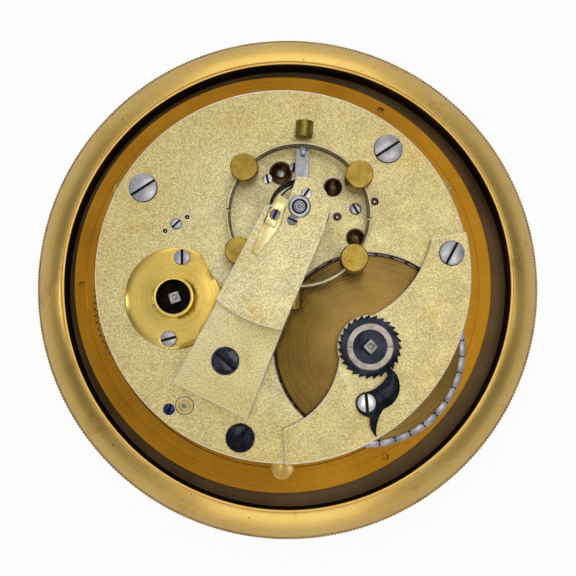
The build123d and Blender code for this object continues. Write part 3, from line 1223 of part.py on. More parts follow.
def hour_wheel():
    pipe_low = HOUR_HAND_Z
    wheel = prism(gear_points(CENTRE, HOUR_TEETH, HOUR_PR, HOUR_PHASE, ADDENDUM, WHEEL_DEDENDUM,
                              TOOTH_TIP_SHARE, TOOTH_ROOT_SHARE),
                  HOUR_WHEEL_Z, HOUR_WHEEL_Z + HOUR_WHEEL_T)
    wheel += cyl(CENTRE, HOUR_PIPE_R, pipe_low, HOUR_WHEEL_Z + HOUR_WHEEL_T)
    return wheel - cyl(CENTRE, CANNON_R + RUNNING, pipe_low - 1, HOUR_WHEEL_Z + HOUR_WHEEL_T + 1)


def up_down_wheel():
    """The slow wheel that shows how far the chronometer has run down, on its own arbor."""
    wheel = train_wheel(UP_DOWN, UP_DOWN_TEETH, UP_DOWN_PR, UP_DOWN_PHASE, UP_DOWN_WHEEL_Z,
                        UP_DOWN_WHEEL_T, PIVOT_R / 2)
    wheel += cyl(UP_DOWN, ARBOR_R, DIAL_BACK_Z + AIR, PILLAR_PLATE_Z - RUNNING)
    return wheel + cyl(UP_DOWN, PIVOT_R, SECONDS_HAND_Z - 0.2, FLOOR_Z)


def hand(centre, angle, length, tail, hub_r, z_low, bore_r, width):
    """A slim hand with a leaf-shaped head and a short tail."""
    half = width / 2
    outline = [
        (-tail, -half * 0.7), (0.0, -half), (0.58 * length, -half * 0.6),
        (0.66 * length, -half * 2.0), (0.76 * length, -half * 2.0), (length, 0.0),
        (0.76 * length, half * 2.0), (0.66 * length, half * 2.0), (0.58 * length, half * 0.6),
        (0.0, half), (-tail, half * 0.7)]
    blade = Pos(centre[0], centre[1], 0) * (Rot(0, 0, angle) * prism(outline, z_low, z_low + HAND_T))
    blade += cyl(centre, hub_r, z_low, z_low + HAND_T)
    return blade - cyl(centre, bore_r, z_low - 1, z_low + HAND_T + 1)


def twelve_direction():
    return direction(FOURTH, CENTRE)


def minute_hand():
    return hand(CENTRE, twelve_direction() + MINUTE_HAND_TURN, MINUTE_HAND_L, MINUTE_HAND_TAIL,
                MINUTE_HAND_HUB_R, MINUTE_HAND_Z - HAND_T, CANNON_BORE_R + SEATED, MINUTE_HAND_W)


def hour_hand():
    return hand(CENTRE, twelve_direction() + HOUR_HAND_TURN, HOUR_HAND_L, HOUR_HAND_TAIL,
                HOUR_HAND_HUB_R, HOUR_HAND_Z - HAND_T, CANNON_R + RUNNING, HOUR_HAND_W)


def seconds_hand():
    return hand(FOURTH, twelve_direction() + SECONDS_HAND_TURN, SECONDS_HAND_L, SECONDS_HAND_TAIL,
                SMALL_HAND_HUB_R, SECONDS_HAND_Z, PIVOT_R + SEATED, SMALL_HAND_W)


def up_down_hand():
    return hand(UP_DOWN, twelve_direction() + UP_DOWN_HAND_TURN, UP_DOWN_HAND_L, UP_DOWN_HAND_TAIL,
                SMALL_HAND_HUB_R, SECONDS_HAND_Z, PIVOT_R + SEATED, SMALL_HAND_W)


def dial():
    plate = cyl(CENTRE, DIAL_R, DIAL_FRONT_Z, DIAL_BACK_Z)
    plate -= cyl(CENTRE, HOUR_PIPE_R + AIR, DIAL_FRONT_Z - 1, DIAL_BACK_Z + 1)
    for place in (FOURTH, UP_DOWN):
        plate -= cyl(place, SUBDIAL_R, DIAL_FRONT_Z - 1, DIAL_FRONT_Z + SUBDIAL_DEPTH)
        plate -= cyl(place, ARBOR_R, DIAL_FRONT_Z - 1, DIAL_BACK_Z + 1)
    for angle in DIAL_SCREW_ANGLES:
        place = polar(DIAL_SCREW_CIRCLE_R, angle)
        plate -= cyl(place, SMALL_SCREW_SHANK_R + SEATED, DIAL_FRONT_Z - 1, DIAL_BACK_Z + 1)
    return plate


def dial_screws():
    screws = []
    for angle in DIAL_SCREW_ANGLES:
        place = polar(DIAL_SCREW_CIRCLE_R, angle)
        head_z = DIAL_FRONT_Z - DIAL_SCREW_HEAD_H
        body = cyl(place, SMALL_SCREW_R, head_z, DIAL_FRONT_Z)
        body += cyl(place, SMALL_SCREW_SHANK_R, DIAL_FRONT_Z, DIAL_BACK_Z + DIAL_SCREW_LENGTH)
        body -= bar(place, 3 * SMALL_SCREW_R, SMALL_SCREW_SLOT, head_z - 1,
                    head_z + DIAL_SCREW_HEAD_H / 2, angle)
        screws.append(body)
    return screws


# Escapement and balance

def impulse_roller_r():
    return distance(ESCAPE, BALANCE) - ESCAPE_R - 0.08


def balance_rim_low():
    return TOP_Z + BALANCE_RIM_Z


def balance_wheel():
    """A steel arm with a split two-metal rim and a square stud at each end of the arm."""
    low = balance_rim_low()
    high = low + BALANCE_RIM_H
    rim = tube(BALANCE, BALANCE_RIM_R, BALANCE_RIM_R - BALANCE_RIM_W, low, high)
    for turn in (0.0, 180.0):
        cut = polar(BALANCE_RIM_R, BALANCE_ARM_ANGLE + 90.0 + turn, BALANCE)
        rim -= bar(cut, 4 * BALANCE_RIM_W, RIM_CUT_W, low - 1, high + 1,
                   BALANCE_ARM_ANGLE + 90.0 + turn)
    arm_l = 2 * (BALANCE_RIM_R - BALANCE_RIM_W / 2)
    arm = bar(BALANCE, arm_l, BALANCE_ARM_W, low, low + BALANCE_ARM_T, BALANCE_ARM_ANGLE)
    hub = cyl(BALANCE, BALANCE_HUB_R, low, low + BALANCE_ARM_T)
    body = rim + arm + hub
    for turn in (0.0, 180.0):
        angle = BALANCE_ARM_ANGLE + turn
        stud_l = BALANCE_RIM_R - STUD_IN_R
        stud = polar(STUD_IN_R + stud_l / 2, angle, BALANCE)
        body += bar(stud, stud_l, STUD_SIDE, low + 0.4, low + 0.4 + STUD_SIDE + 0.5, angle)
        thread = polar(NUT_CIRCLE_R - NUT_L / 2, angle, BALANCE)
        body += bar(thread, NUT_L, 0.8, nut_z() - 0.4, nut_z() + 0.4, angle)
    return body - cyl(BALANCE, STAFF_R + SEATED, low - 1, high + 1)


def nut_z():
    return balance_rim_low() + BALANCE_RIM_H / 2 + 0.4


def weight_places():
    places = []
    for turn in (0.0, 180.0):
        for side in (-WEIGHT_ANGLE, WEIGHT_ANGLE):
            places.append(polar(WEIGHT_CIRCLE_R, BALANCE_ARM_ANGLE + turn + side, BALANCE))
    return places


def balance_weights():
    rim_low = balance_rim_low()
    low = rim_low - WEIGHT_DROP
    groove = tube(BALANCE, BALANCE_RIM_R + SEATED, BALANCE_RIM_R - BALANCE_RIM_W - SEATED,
                  rim_low - SEATED, rim_low + BALANCE_RIM_H + SEATED)
    pieces = [cyl(place, WEIGHT_R, low, low + WEIGHT_H) - groove for place in weight_places()]
    for turn in (0.0, 180.0):
        angle = BALANCE_ARM_ANGLE + turn
        place = polar(NUT_CIRCLE_R, angle, BALANCE)
        nut = Pos(place[0], place[1], nut_z()) * (Rot(0, 0, angle) * (Rot(0, 90, 0) * Cylinder(NUT_R, NUT_L)))
        thread = bar(place, 3 * NUT_L, 0.8 + 2 * SEATED, nut_z() - 0.4 - SEATED,
                     nut_z() + 0.4 + SEATED, angle)
        pieces.append(nut - thread)
    return pieces


def balance_staff():
    low = FLOOR_Z + POTENCE_Z + 0.6
    body_low = FLOOR_Z + POTENCE_Z + POTENCE_ARM_T + RUNNING
    body_high = COCK_ARM_BOTTOM - RUNNING
    hub_low = balance_rim_low() - 1.0
    collet_low = TOP_Z + SPRING_Z - 0.6
    return turned(BALANCE, [
        (0, low), (STAFF_PIVOT_R, low), (STAFF_PIVOT_R, body_low), (STAFF_R, body_low),
        (STAFF_R, hub_low), (BALANCE_HUB_R - 0.4, hub_low), (BALANCE_HUB_R - 0.4, balance_rim_low()),
        (STAFF_R, balance_rim_low()), (STAFF_R, collet_low), (SPRING_COLLET_R, collet_low),
        (SPRING_COLLET_R, collet_low + 1.4), (STAFF_R * 0.7, collet_low + 1.4),
        (STAFF_R * 0.7, body_high), (STAFF_PIVOT_R, body_high),
        (STAFF_PIVOT_R, COCK_TOP_Z - 0.8), (0, COCK_TOP_Z - 0.8)])


def balance_rollers():
    """The discharge roller and, above it, the impulse roller with its notch and jewel."""
    bore = STAFF_R + SEATED
    low = FLOOR_Z + DETENT_Z
    small = tube(BALANCE, DISCHARGE_R, bore, low, low + ROLLER_H)
    jewel = polar(DISCHARGE_R, 0.0, BALANCE)
    small += bar(jewel, 2 * DISCHARGE_JEWEL, 0.4, low, low + ROLLER_H, 0.0)
    high = ESCAPE_WHEEL_BOTTOM - 0.05
    big = tube(BALANCE, impulse_roller_r(), bore, high, high + ROLLER_H)
    notch = polar(impulse_roller_r(), -60.0, BALANCE)
    big -= cyl(notch, 1.1, high - 1, high + ROLLER_H + 1)
    return [small, big]


def spring_top():
    return COCK_ARM_BOTTOM - AIR


def half_turn(outer, inner, angle, z_low, side):
    """A flat half circle of wire, from radius outer at an angle to radius inner on the far side."""
    middle = polar((outer - inner) / 2, angle, BALANCE)
    bend = (outer + inner) / 2
    half_w = SPRING_WIRE_W / 2 + SEATED
    band = tube(middle, bend + half_w, bend - half_w, z_low - SEATED, z_low + SPRING_WIRE_H + SEATED)
    side_mid = polar(bend - SPRING_END_LAP, angle + side, middle)
    return band & bar(side_mid, 4 * bend, 2 * bend, z_low - 1, z_low + 1, angle)


def helical_spring():
    """A cylindrical balance spring, its two ends curved in to the collet and to the stud."""
    low = TOP_Z + SPRING_Z
    high = spring_top() - SPRING_WIRE_H
    path = Helix((high - low) / SPRING_COILS, high - low, SPRING_COIL_R)
    section = Plane(origin=path @ 0, z_dir=path % 0) * Rectangle(SPRING_WIRE_H, SPRING_WIRE_W)
    coil = sweep(section, path=path, is_frenet=True)
    turn = direction(BALANCE, stud_post_place()) - 180.0
    coil = Pos(BALANCE[0], BALANCE[1], low + SPRING_WIRE_H / 2) * (Rot(0, 0, turn) * coil)
    at_collet = SPRING_COLLET_R + AIR + SPRING_WIRE_W / 2
    at_stud = distance(BALANCE, stud_post_place()) + STUD_POST_R + SEATED + SPRING_WIRE_W / 2
    coil += half_turn(SPRING_COIL_R, at_collet, turn, low, -90.0)
    return coil + half_turn(SPRING_COIL_R, at_stud, turn, high, 90.0)


def potence():
    """The bracket under the top plate that carries the balance's lower pivot."""
    low = FLOOR_Z + POTENCE_Z
    foot_angle = direction(POTENCE_PINS[0], POTENCE_PINS[1])
    foot_mid = ((POTENCE_PINS[0][0] + POTENCE_PINS[1][0]) / 2,
                (POTENCE_PINS[0][1] + POTENCE_PINS[1][1]) / 2)
    foot_l = distance(POTENCE_PINS[0], POTENCE_PINS[1]) + POTENCE_W
    body = bar(foot_mid, foot_l, POTENCE_W, low, CEILING_Z, foot_angle)
    arm_l = distance(BALANCE, POTENCE_PINS[0]) + POTENCE_W / 2
    arm_angle = direction(BALANCE, POTENCE_PINS[0])
    arm_mid = polar(arm_l / 2, arm_angle, BALANCE)
    body += bar(arm_mid, arm_l, POTENCE_W, low, low + POTENCE_ARM_T, arm_angle)
    body += cyl(BALANCE, POTENCE_BOSS_R, low, low + POTENCE_ARM_T)
    body -= cyl(BALANCE, STAFF_PIVOT_R + RUNNING, low + 0.5, low + POTENCE_ARM_T + 1)
    for place in POTENCE_PINS:
        body -= cyl(place, STEADY_PIN_R + SEATED, CEILING_Z - PIN_BORE_H, CEILING_Z + 1)
    return body - cyl(POTENCE_SCREW, SMALL_SCREW_SHANK_R + SEATED, CEILING_Z - PIN_BORE_H, CEILING_Z + 1)


def detent_tip():
    return (BALANCE[0] - DISCHARGE_R - DISCHARGE_JEWEL - 0.12, BALANCE[1] + 0.1)


def locking_stone_place():
    reach = ESCAPE_R + 0.06 + 0.25
    return polar(reach, 257.0, ESCAPE)


def detent_foot():
    angle = direction(DETENT_PINS[0], DETENT_PINS[1])
    length = distance(DETENT_PINS[0], DETENT_PINS[1]) + 3.0
    low = FLOOR_Z + DETENT_Z
    body = bar(DETENT_SCREW, length, DETENT_FOOT_W, low + DETENT_H + AIR, CEILING_Z, angle)
    body += bar(DETENT_ROOT, 3.6, 3.0, low, CEILING_Z, 0.0)
    body -= bar((DETENT_ROOT[0] + 0.8, DETENT_ROOT[1]), 2.6, 0.4 + 2 * AIR, low - 1,
                low + DETENT_H + AIR, 0.0)
    for place in DETENT_PINS:
        body -= cyl(place, STEADY_PIN_R + SEATED, CEILING_Z - PIN_BORE_H, CEILING_Z + 1)
    return body - cyl(DETENT_SCREW, SMALL_SCREW_SHANK_R + SEATED, CEILING_Z - PIN_BORE_H, CEILING_Z + 1)


def detent_blade():
    """The sprung detent: a thin spring, a stiff blade, the locking stone and a passing spring."""
    low = FLOOR_Z + DETENT_Z
    high = low + DETENT_H
    tip = detent_tip()
    stone = locking_stone_place()
    stiff_start = DETENT_ROOT[0] + 4.6
    stiff_end = tip[0] - 2.4
    y = DETENT_ROOT[1]
    body = bar(((DETENT_ROOT[0] + stiff_start) / 2, y), stiff_start - DETENT_ROOT[0] + 0.2, 0.3,
               low, high)
    body += bar(((stiff_start + stiff_end) / 2, y), stiff_end - stiff_start, 1.0, low, high)
    body += bar(((stiff_end + tip[0]) / 2 - 0.2, y), tip[0] - stiff_end + 0.4, 0.3, low, high)
    body += bar((stone[0], (stone[1] + y) / 2), 0.9, stone[1] - y + 0.6, low, high)
    return body + cyl(stone, 0.25, low, ESCAPE_WHEEL_BOTTOM + ESCAPE_WHEEL_T)


# Maintaining work

def maintaining_detent():
    """A pivoted arm whose tip stands by the maintaining ratchet."""
    tip = polar(maintaining_r() + 0.15, MAINTAINING_TIP_ANGLE, FUSEE)
    low = GREAT_TOP + 0.1
    high = low + MAINTAINING_T - 0.2
    arm_angle = direction(MAINTAINING_PIVOT, tip)
    arm_l = distance(MAINTAINING_PIVOT, tip)
    left = polar(1.1, arm_angle + 90.0, MAINTAINING_PIVOT)
    right = polar(1.1, arm_angle - 90.0, MAINTAINING_PIVOT)
    tip_out = polar(0.9, MAINTAINING_TIP_ANGLE, tip)
    body = prism([left, tip_out, tip, right], low, high)
    body += cyl(MAINTAINING_PIVOT, 1.5, low, high)
    body += pivoted_arbor(MAINTAINING_PIVOT, PILLAR_PLATE_Z, TOP_Z - 0.8, MAINTAINING_ARBOR_R,
                          PIVOT_R, FLOOR_Z + RUNNING, CEILING_Z - RUNNING)
    return body


NODES = {
    "bezel_ring": bezel_ring,
    "bezel_glass": bezel_glass,
    "glass_retaining_ring": glass_retaining_ring,
    "movement_ring": movement_ring,
    "pillar_plate": pillar_plate,
    "pillars": lambda: [pillar(place) for place in PILLARS + (BRIDGE_PILLAR,)],
    "dog_screws": dog_screws,
    "top_plate": top_plate,
    "pillar_screws": pillar_screws,
    "barrel_bridge": barrel_bridge,
    "steady_pins": steady_pins,
    "plate_bushes": plate_bushes,
    "jewel_setting_screws": jewel_setting_screws,
    "small_plate_screws": small_plate_screws,
    "balance_cock": balance_cock,
    "balance_cock_screw": balance_cock_screw,
    "cock_jewel_setting": cock_jewel_setting,
    "spring_stud": spring_stud,
    "spring_stud_screw": spring_stud_screw,
    "fusee_cap": fusee_cap,
    "barrel_drum": barrel_drum,
    "barrel_cover": barrel_cover,
    "barrel_arbor": barrel_arbor,
    "mainspring": mainspring,
    "ratchet_wheel": ratchet_wheel,
    "ratchet_collar": ratchet_collar,
    "click": click,
    "click_screw": click_screw,
    "fusee_cone": fusee_cone,
    "fusee_arbor": fusee_arbor,
    "great_wheel": great_wheel,
    "maintaining_ratchet": maintaining_ratchet,
    "maintaining_detent": maintaining_detent,
    "fusee_chain": fusee_chain,
    "centre_wheel": centre_wheel,
    "centre_arbor": centre_arbor,
    "cannon_pinion": cannon_pinion,
    "third_wheel": third_wheel,
    "third_arbor": third_arbor,
    "fourth_wheel": fourth_wheel,
    "fourth_arbor": fourth_arbor,
    "escape_wheel": escape_wheel,
    "escape_arbor": escape_arbor,
    "minute_wheel": minute_wheel,
    "hour_wheel": hour_wheel,
    "up_down_wheel": up_down_wheel,
    "minute_hand": minute_hand,
    "hour_hand": hour_hand,
    "seconds_hand": seconds_hand,
    "up_down_hand": up_down_hand,
    "dial": dial,
    "dial_screws": dial_screws,
    "balance_wheel": balance_wheel,
    "balance_weights": balance_weights,
    "balance_staff": balance_staff,
    "balance_rollers": balance_rollers,
    "helical_spring": helical_spring,
    "potence": potence,
    "detent_foot": detent_foot,
    "detent_blade": detent_blade,
}

IN_BEZEL_FRAME = ("bezel_ring", "bezel_glass", "glass_retaining_ring")


def main():
    os.makedirs("parts", exist_ok=True)
    shift = Pos(MOVEMENT_SHIFT_X, MOVEMENT_SHIFT_Y, 0)
    for name, make in NODES.items():
        made = make()
        pieces = made if isinstance(made, list) else [made]
        if name not in IN_BEZEL_FRAME:
            pieces = [shift * piece for piece in pieces]
        solids = [solid for piece in pieces for solid in piece.solids()]
        node = solids[0] if len(solids) == 1 else Compound(children=solids)
        node.label = name
        export_step(node, os.path.join("parts", name + ".step"))


main()
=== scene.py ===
import json
from collections import namedtuple
from math import acos, asin, atan2, cos, degrees, hypot, radians, sin

import bmesh
import bpy
from mathutils import Matrix, Vector


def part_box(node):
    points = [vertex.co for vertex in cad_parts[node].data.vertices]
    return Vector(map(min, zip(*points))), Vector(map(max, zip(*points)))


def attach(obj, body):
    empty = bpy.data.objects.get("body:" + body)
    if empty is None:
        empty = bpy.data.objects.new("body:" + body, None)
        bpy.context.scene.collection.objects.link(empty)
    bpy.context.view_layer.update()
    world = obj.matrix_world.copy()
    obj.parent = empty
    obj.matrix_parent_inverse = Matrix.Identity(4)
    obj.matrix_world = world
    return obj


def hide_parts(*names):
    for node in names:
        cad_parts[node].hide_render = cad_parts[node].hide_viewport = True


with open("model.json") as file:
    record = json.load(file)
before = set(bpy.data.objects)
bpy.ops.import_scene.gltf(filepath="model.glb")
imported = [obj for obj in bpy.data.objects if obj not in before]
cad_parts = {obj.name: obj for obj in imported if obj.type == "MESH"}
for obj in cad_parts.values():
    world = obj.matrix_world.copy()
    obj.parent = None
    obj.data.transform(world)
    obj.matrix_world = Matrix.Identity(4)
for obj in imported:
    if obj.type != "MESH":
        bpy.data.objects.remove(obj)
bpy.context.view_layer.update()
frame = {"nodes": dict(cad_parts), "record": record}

MM = 0.001

# Places and sizes taken from the frame, in millimetres


def spot(node):
    """The middle of a node, seen from above."""
    low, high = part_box(node)
    return ((low[0] + high[0]) / 2 / MM, (low[1] + high[1]) / 2 / MM)


def reach(node):
    """Half of a node's width."""
    low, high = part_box(node)
    return (high[0] - low[0]) / 2 / MM


def bottom(node):
    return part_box(node)[0][2] / MM


def top(node):
    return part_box(node)[1][2] / MM


CENTRE = spot("pillar_plate")
FUSEE = spot("fusee_cone")
BARREL = spot("barrel_drum")
BALANCE = spot("balance_staff")
AXIS = (0.0, 0.0)

BEZEL_R = reach("bezel_ring")
BEZEL_H = top("bezel_ring")
GLASS_R = reach("bezel_glass")
GLASS_LOW = bottom("bezel_glass")
RING_R = reach("movement_ring")
RING_LOW = bottom("movement_ring")
FLOOR_Z = top("pillar_plate")
PLATE_LOW = bottom("pillar_plate")
PLATE_R = reach("pillar_plate")
TOP_LOW = bottom("top_plate")
TOP_Z = top("top_plate")
TOP_R = reach("top_plate")
BRIDGE_TOP = top("barrel_bridge")
DRUM_R = reach("barrel_drum")
DIAL_LOW = bottom("dial")
DIAL_TOP = top("dial")
DIAL_R = reach("dial")

# Sizes, angles and counts that the scene adds, in millimetres and degrees
SIGHT_R = 46.5
BEZEL_FRONT_R = 57.0
COIN_LOW = 7.0
COIN_HIGH = 11.2
COIN_DEPTH = 0.2
COIN_TEETH = 480
LIP_R = 54.2
LIP_T = 0.8
LIP_GROOVE = ((0.62, 0.0), (0.56, 0.6), (0.24, 0.6), (0.2, 0.15), (-0.02, 0.2), (-0.04, LIP_T))
LEDGE_Z = 10.4
THREAD_PITCH = 0.8
THREAD_DEPTH = 0.3
RING_STEP_R = 48.0
RING_STEP_H = 0.4
RING_HOLE_R = 0.7
RING_HOLE_CIRCLE_R = 49.0
RING_HOLE_ANGLES = (60.5, 180.5, 300.5)
CUTOUT_GAP = 0.6
ROUND = 256
HOLE_STEPS = 40
EDGE = 0.12
CAD_EDGE = 0.06
# Faces of a plate's broken edge that slope within this range get the painted edge highlight.
HIGHLIGHT_SLOPES = (0.2, 0.98)    # how far up the faces of a plate's broken edge look
COVER_HOLE_R = 4.1
PLAN_R = PLATE_R + 0.02
TUBE_BORE_R = 3.8
ROLLER_HOLE_R = 3.9
CENTRE_HOLE_R = 0.85
ARBOR_HOLE_R = 3.1
BUSH_GAP = 0.12
HORN_R = 0.7578 * PLAN_R
LOBE_R = 0.1585 * PLAN_R
BRIDGE_RIGHT_R = 0.3750 * PLAN_R
BRIDGE_LEFT_R = 0.3281 * PLAN_R


# Outlines

def polar(radius, angle, centre=AXIS):
    """The point at a radius and an angle from centre. All angles are in degrees."""
    return (centre[0] + radius * cos(radians(angle)), centre[1] + radius * sin(radians(angle)))


def direction(a, b):
    """The angle of the line from a to b."""
    return degrees(atan2(b[1] - a[1], b[0] - a[0]))


def distance(a, b):
    return hypot(b[0] - a[0], b[1] - a[1])


def arc(centre, radius, start, end, steps):
    """Points on an arc, both ends included."""
    return [polar(radius, start + (end - start) * i / steps, centre) for i in range(steps + 1)]


def ring(centre, radius, steps=64):
    """Points on a full circle."""
    return [polar(radius, 360.0 * i / steps, centre) for i in range(steps)]


def arc_through(a, b, c, steps):
    """Points on the arc from a through b to c."""
    d = 2 * (a[0] * (b[1] - c[1]) + b[0] * (c[1] - a[1]) + c[0] * (a[1] - b[1]))
    sa, sb, sc = (p[0] ** 2 + p[1] ** 2 for p in (a, b, c))
    centre = ((sa * (b[1] - c[1]) + sb * (c[1] - a[1]) + sc * (a[1] - b[1])) / d,
              (sa * (c[0] - b[0]) + sb * (a[0] - c[0]) + sc * (b[0] - a[0])) / d)
    start, middle, end = (direction(centre, p) for p in (a, b, c))
    if (middle - start) % 360 > (end - start) % 360:
        sweep = -((start - end) % 360)
    else:
        sweep = (end - start) % 360
    return arc(centre, distance(centre, a), start, start + sweep, steps)


def eased(points, size):
    """Rounds each corner of a closed outline a little."""
    result = []
    for i, corner in enumerate(points):
        before = Vector(points[i - 1]) - Vector(corner)
        after = Vector(points[(i + 1) % len(points)]) - Vector(corner)
        a = Vector(corner) + before.normalized() * min(size, before.length / 3)
        b = Vector(corner) + after.normalized() * min(size, after.length / 3)
        result += [tuple(a), tuple((a + b + 2 * Vector(corner)) / 4), tuple(b)]
    return result


# Meshes

def added(name, data):
    obj = bpy.data.objects.new(name, data)
    bpy.context.scene.collection.objects.link(obj)
    return obj


def piece(name, data, slot_name, body="movement", nodes=(), sharp=20.0, paint=None):
    """An object of the model: shaded, painted, riding on its body, in place of CAD nodes."""
    obj = added(name, data)
    data.set_sharp_from_angle(angle=radians(sharp))
    data.materials.clear()
    data.materials.append((paint or PAINTS[slot_name]).material)
    # The broken-edge faces of the gilt plates get the painted edge highlight.
    if slot_name == "gilt_plate" and paint is None:
        data.materials.append(EDGE_HIGHLIGHT.material)
        for face in data.polygons:
            if HIGHLIGHT_SLOPES[0] < face.normal.z < HIGHLIGHT_SLOPES[1]:
                face.material_index = 1
    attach(obj, body)
    if nodes:
        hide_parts(*nodes)
    return obj


def lathe(centre, profile, segments=192):
    """A mesh turned about the vertical axis at centre from a closed outline of (radius, z)."""
    verts = []
    rows = []
    for radius, z in profile:
        if radius < 1e-6:
            rows.append([len(verts)] * segments)
            verts.append((centre[0] * MM, centre[1] * MM, z * MM))
            continue
        rows.append(list(range(len(verts), len(verts) + segments)))
        for i in range(segments):
            x, y = polar(radius, 360.0 * i / segments, centre)
            verts.append((x * MM, y * MM, z * MM))
    faces = []
    for lower, upper in zip(rows, rows[1:] + rows[:1]):
        for i in range(segments):
            j = (i + 1) % segments
            face = list(dict.fromkeys((lower[i], lower[j], upper[j], upper[i])))
            if len(face) > 2:
                faces.append(face)
    data = bpy.data.meshes.new("turned")
    data.from_pydata(verts, [], faces)
    return outward(data)


def outward(data):
    """Joins doubled points and turns every face outwards."""
    mesh = bmesh.new()
    mesh.from_mesh(data)
    bmesh.ops.remove_doubles(mesh, verts=mesh.verts, dist=1e-8)
    bmesh.ops.recalc_face_normals(mesh, faces=mesh.faces)
    mesh.to_mesh(data)
    mesh.free()
    return data


def mesh_of(curve):
    """The mesh of a curve or a text, which is then removed."""
    holder = bpy.data.objects.new("outline", curve)
    data = bpy.data.meshes.new_from_object(holder)
    bpy.data.objects.remove(holder)
    bpy.data.curves.remove(curve)
    return data


def plate(loops, low, high, edge=EDGE):
    """A flat mesh with holes and broken edges. The first loop is the outside."""
    curve = bpy.data.curves.new("outline", "CURVE")
    curve.dimensions = "2D"
    curve.fill_mode = "BOTH"
    curve.extrude = (high - low) / 2 * MM - edge * MM
    curve.bevel_depth = edge * MM
    curve.bevel_resolution = 1
    curve.offset = -edge * MM
    for loop in loops:
        spline = curve.splines.new("POLY")
        spline.points.add(len(loop) - 1)
        for point, (x, y) in zip(spline.points, loop):
            point.co = (x * MM, y * MM, 0, 1)
        spline.use_cyclic_u = True
    data = mesh_of(curve)
    data.transform(Matrix.Translation((0, 0, (low + high) / 2 * MM)))
    return outward(data)


def pierced(outline, holes, low, high, edge=EDGE, steps=HOLE_STEPS):
    """A plate with round holes, each given by its place and radius."""
    return plate([outline] + [ring(*hole, steps) for hole in holes], low, high, edge)


def merged(parts):
    """One mesh from several."""
    mesh = bmesh.new()
    for data in parts:
        mesh.from_mesh(data)
    data = bpy.data.meshes.new("merged")
    mesh.to_mesh(data)
    mesh.free()
    return data


def moved(data, place, angle, tilt=0.0):
    """A copy of a mesh, tilted, turned about the vertical and brought to its place."""
    copy = data.copy()
    copy.transform(Matrix.Translation(tuple(v * MM for v in place))
                   @ Matrix.Rotation(radians(angle), 4, "Z")
                   @ Matrix.Rotation(radians(tilt), 4, "Y"))
    return copy


Solid = namedtuple("Solid", "place radius low high")


def solids(node):
    """The place, half width and heights of each separate solid of a CAD node."""
    source = frame["nodes"][node]
    mesh = bmesh.new()
    mesh.from_mesh(source.data)
    mesh.transform(source.matrix_world)
    bmesh.ops.remove_doubles(mesh, verts=mesh.verts, dist=1e-7)
    left = set(mesh.verts)
    found = []
    while left:
        queue = [left.pop()]
        group = []
        while queue:
            vert = queue.pop()
            group.append(vert.co / MM)
            for joined in vert.link_edges:
                other = joined.other_vert(vert)
                if other in left:
                    left.discard(other)
                    queue.append(other)
        xs, ys, zs = zip(*group)
        place = ((min(xs) + max(xs)) / 2, (min(ys) + max(ys)) / 2)
        found.append(Solid(place, (max(xs) - min(xs)) / 2, min(zs), max(zs)))
    mesh.free()
    return sorted(found)


# Materials

BLACK = (0, 0, 0, 1)
WHITE = (1, 1, 1, 1)


def linear(red, green, blue):
    """A colour as it looks on screen, from 0 to 255, in Blender's linear values."""
    def one(value):
        value /= 255.0
        return value / 12.92 if value <= 0.04045 else ((value + 0.055) / 1.055) ** 2.4
    return (one(red), one(green), one(blue), 1.0)


class Nodes:
    """A node tree with short ways to add nodes to it."""

    def __init__(self, tree):
        self.tree = tree

    def link(self, start, end):
        self.tree.links.new(start, end)

    def fill(self, node, sockets):
        """Gives each named or numbered socket its value or its link, with _ for a space."""
        for key, value in sockets.items():
            socket = node.inputs[key.replace("_", " ") if isinstance(key, str) else key]
            if hasattr(value, "is_output"):
                self.link(value, socket)
            else:
                socket.default_value = value
        return node

    def node(self, kind, **sockets):
        return self.fill(self.tree.nodes.new("ShaderNode" + kind), sockets)

    def worked(self, kind, operation, *values):
        """The result of a Math or VectorMath node."""
        made = self.node(kind)
        made.operation = operation
        self.fill(made, dict(enumerate(values)))
        return made.outputs["Value" if kind == "Math" or operation == "LENGTH" else "Vector"]

    def span(self, value, low, high, out_low, out_high):
        """The value carried over from one range to another."""
        made = self.node("MapRange", Value=value, From_Min=low, From_Max=high, To_Min=out_low,
                         To_Max=out_high)
        return made.outputs["Result"]

    def blended(self, output, share, first, second):
        """Ends the tree in two shaders, mixed by share."""
        both = self.node("MixShader", Fac=share)
        self.link(first.outputs[0], both.inputs[1])
        self.link(second.outputs[0], both.inputs[2])
        self.node(output, Surface=both.outputs[0])


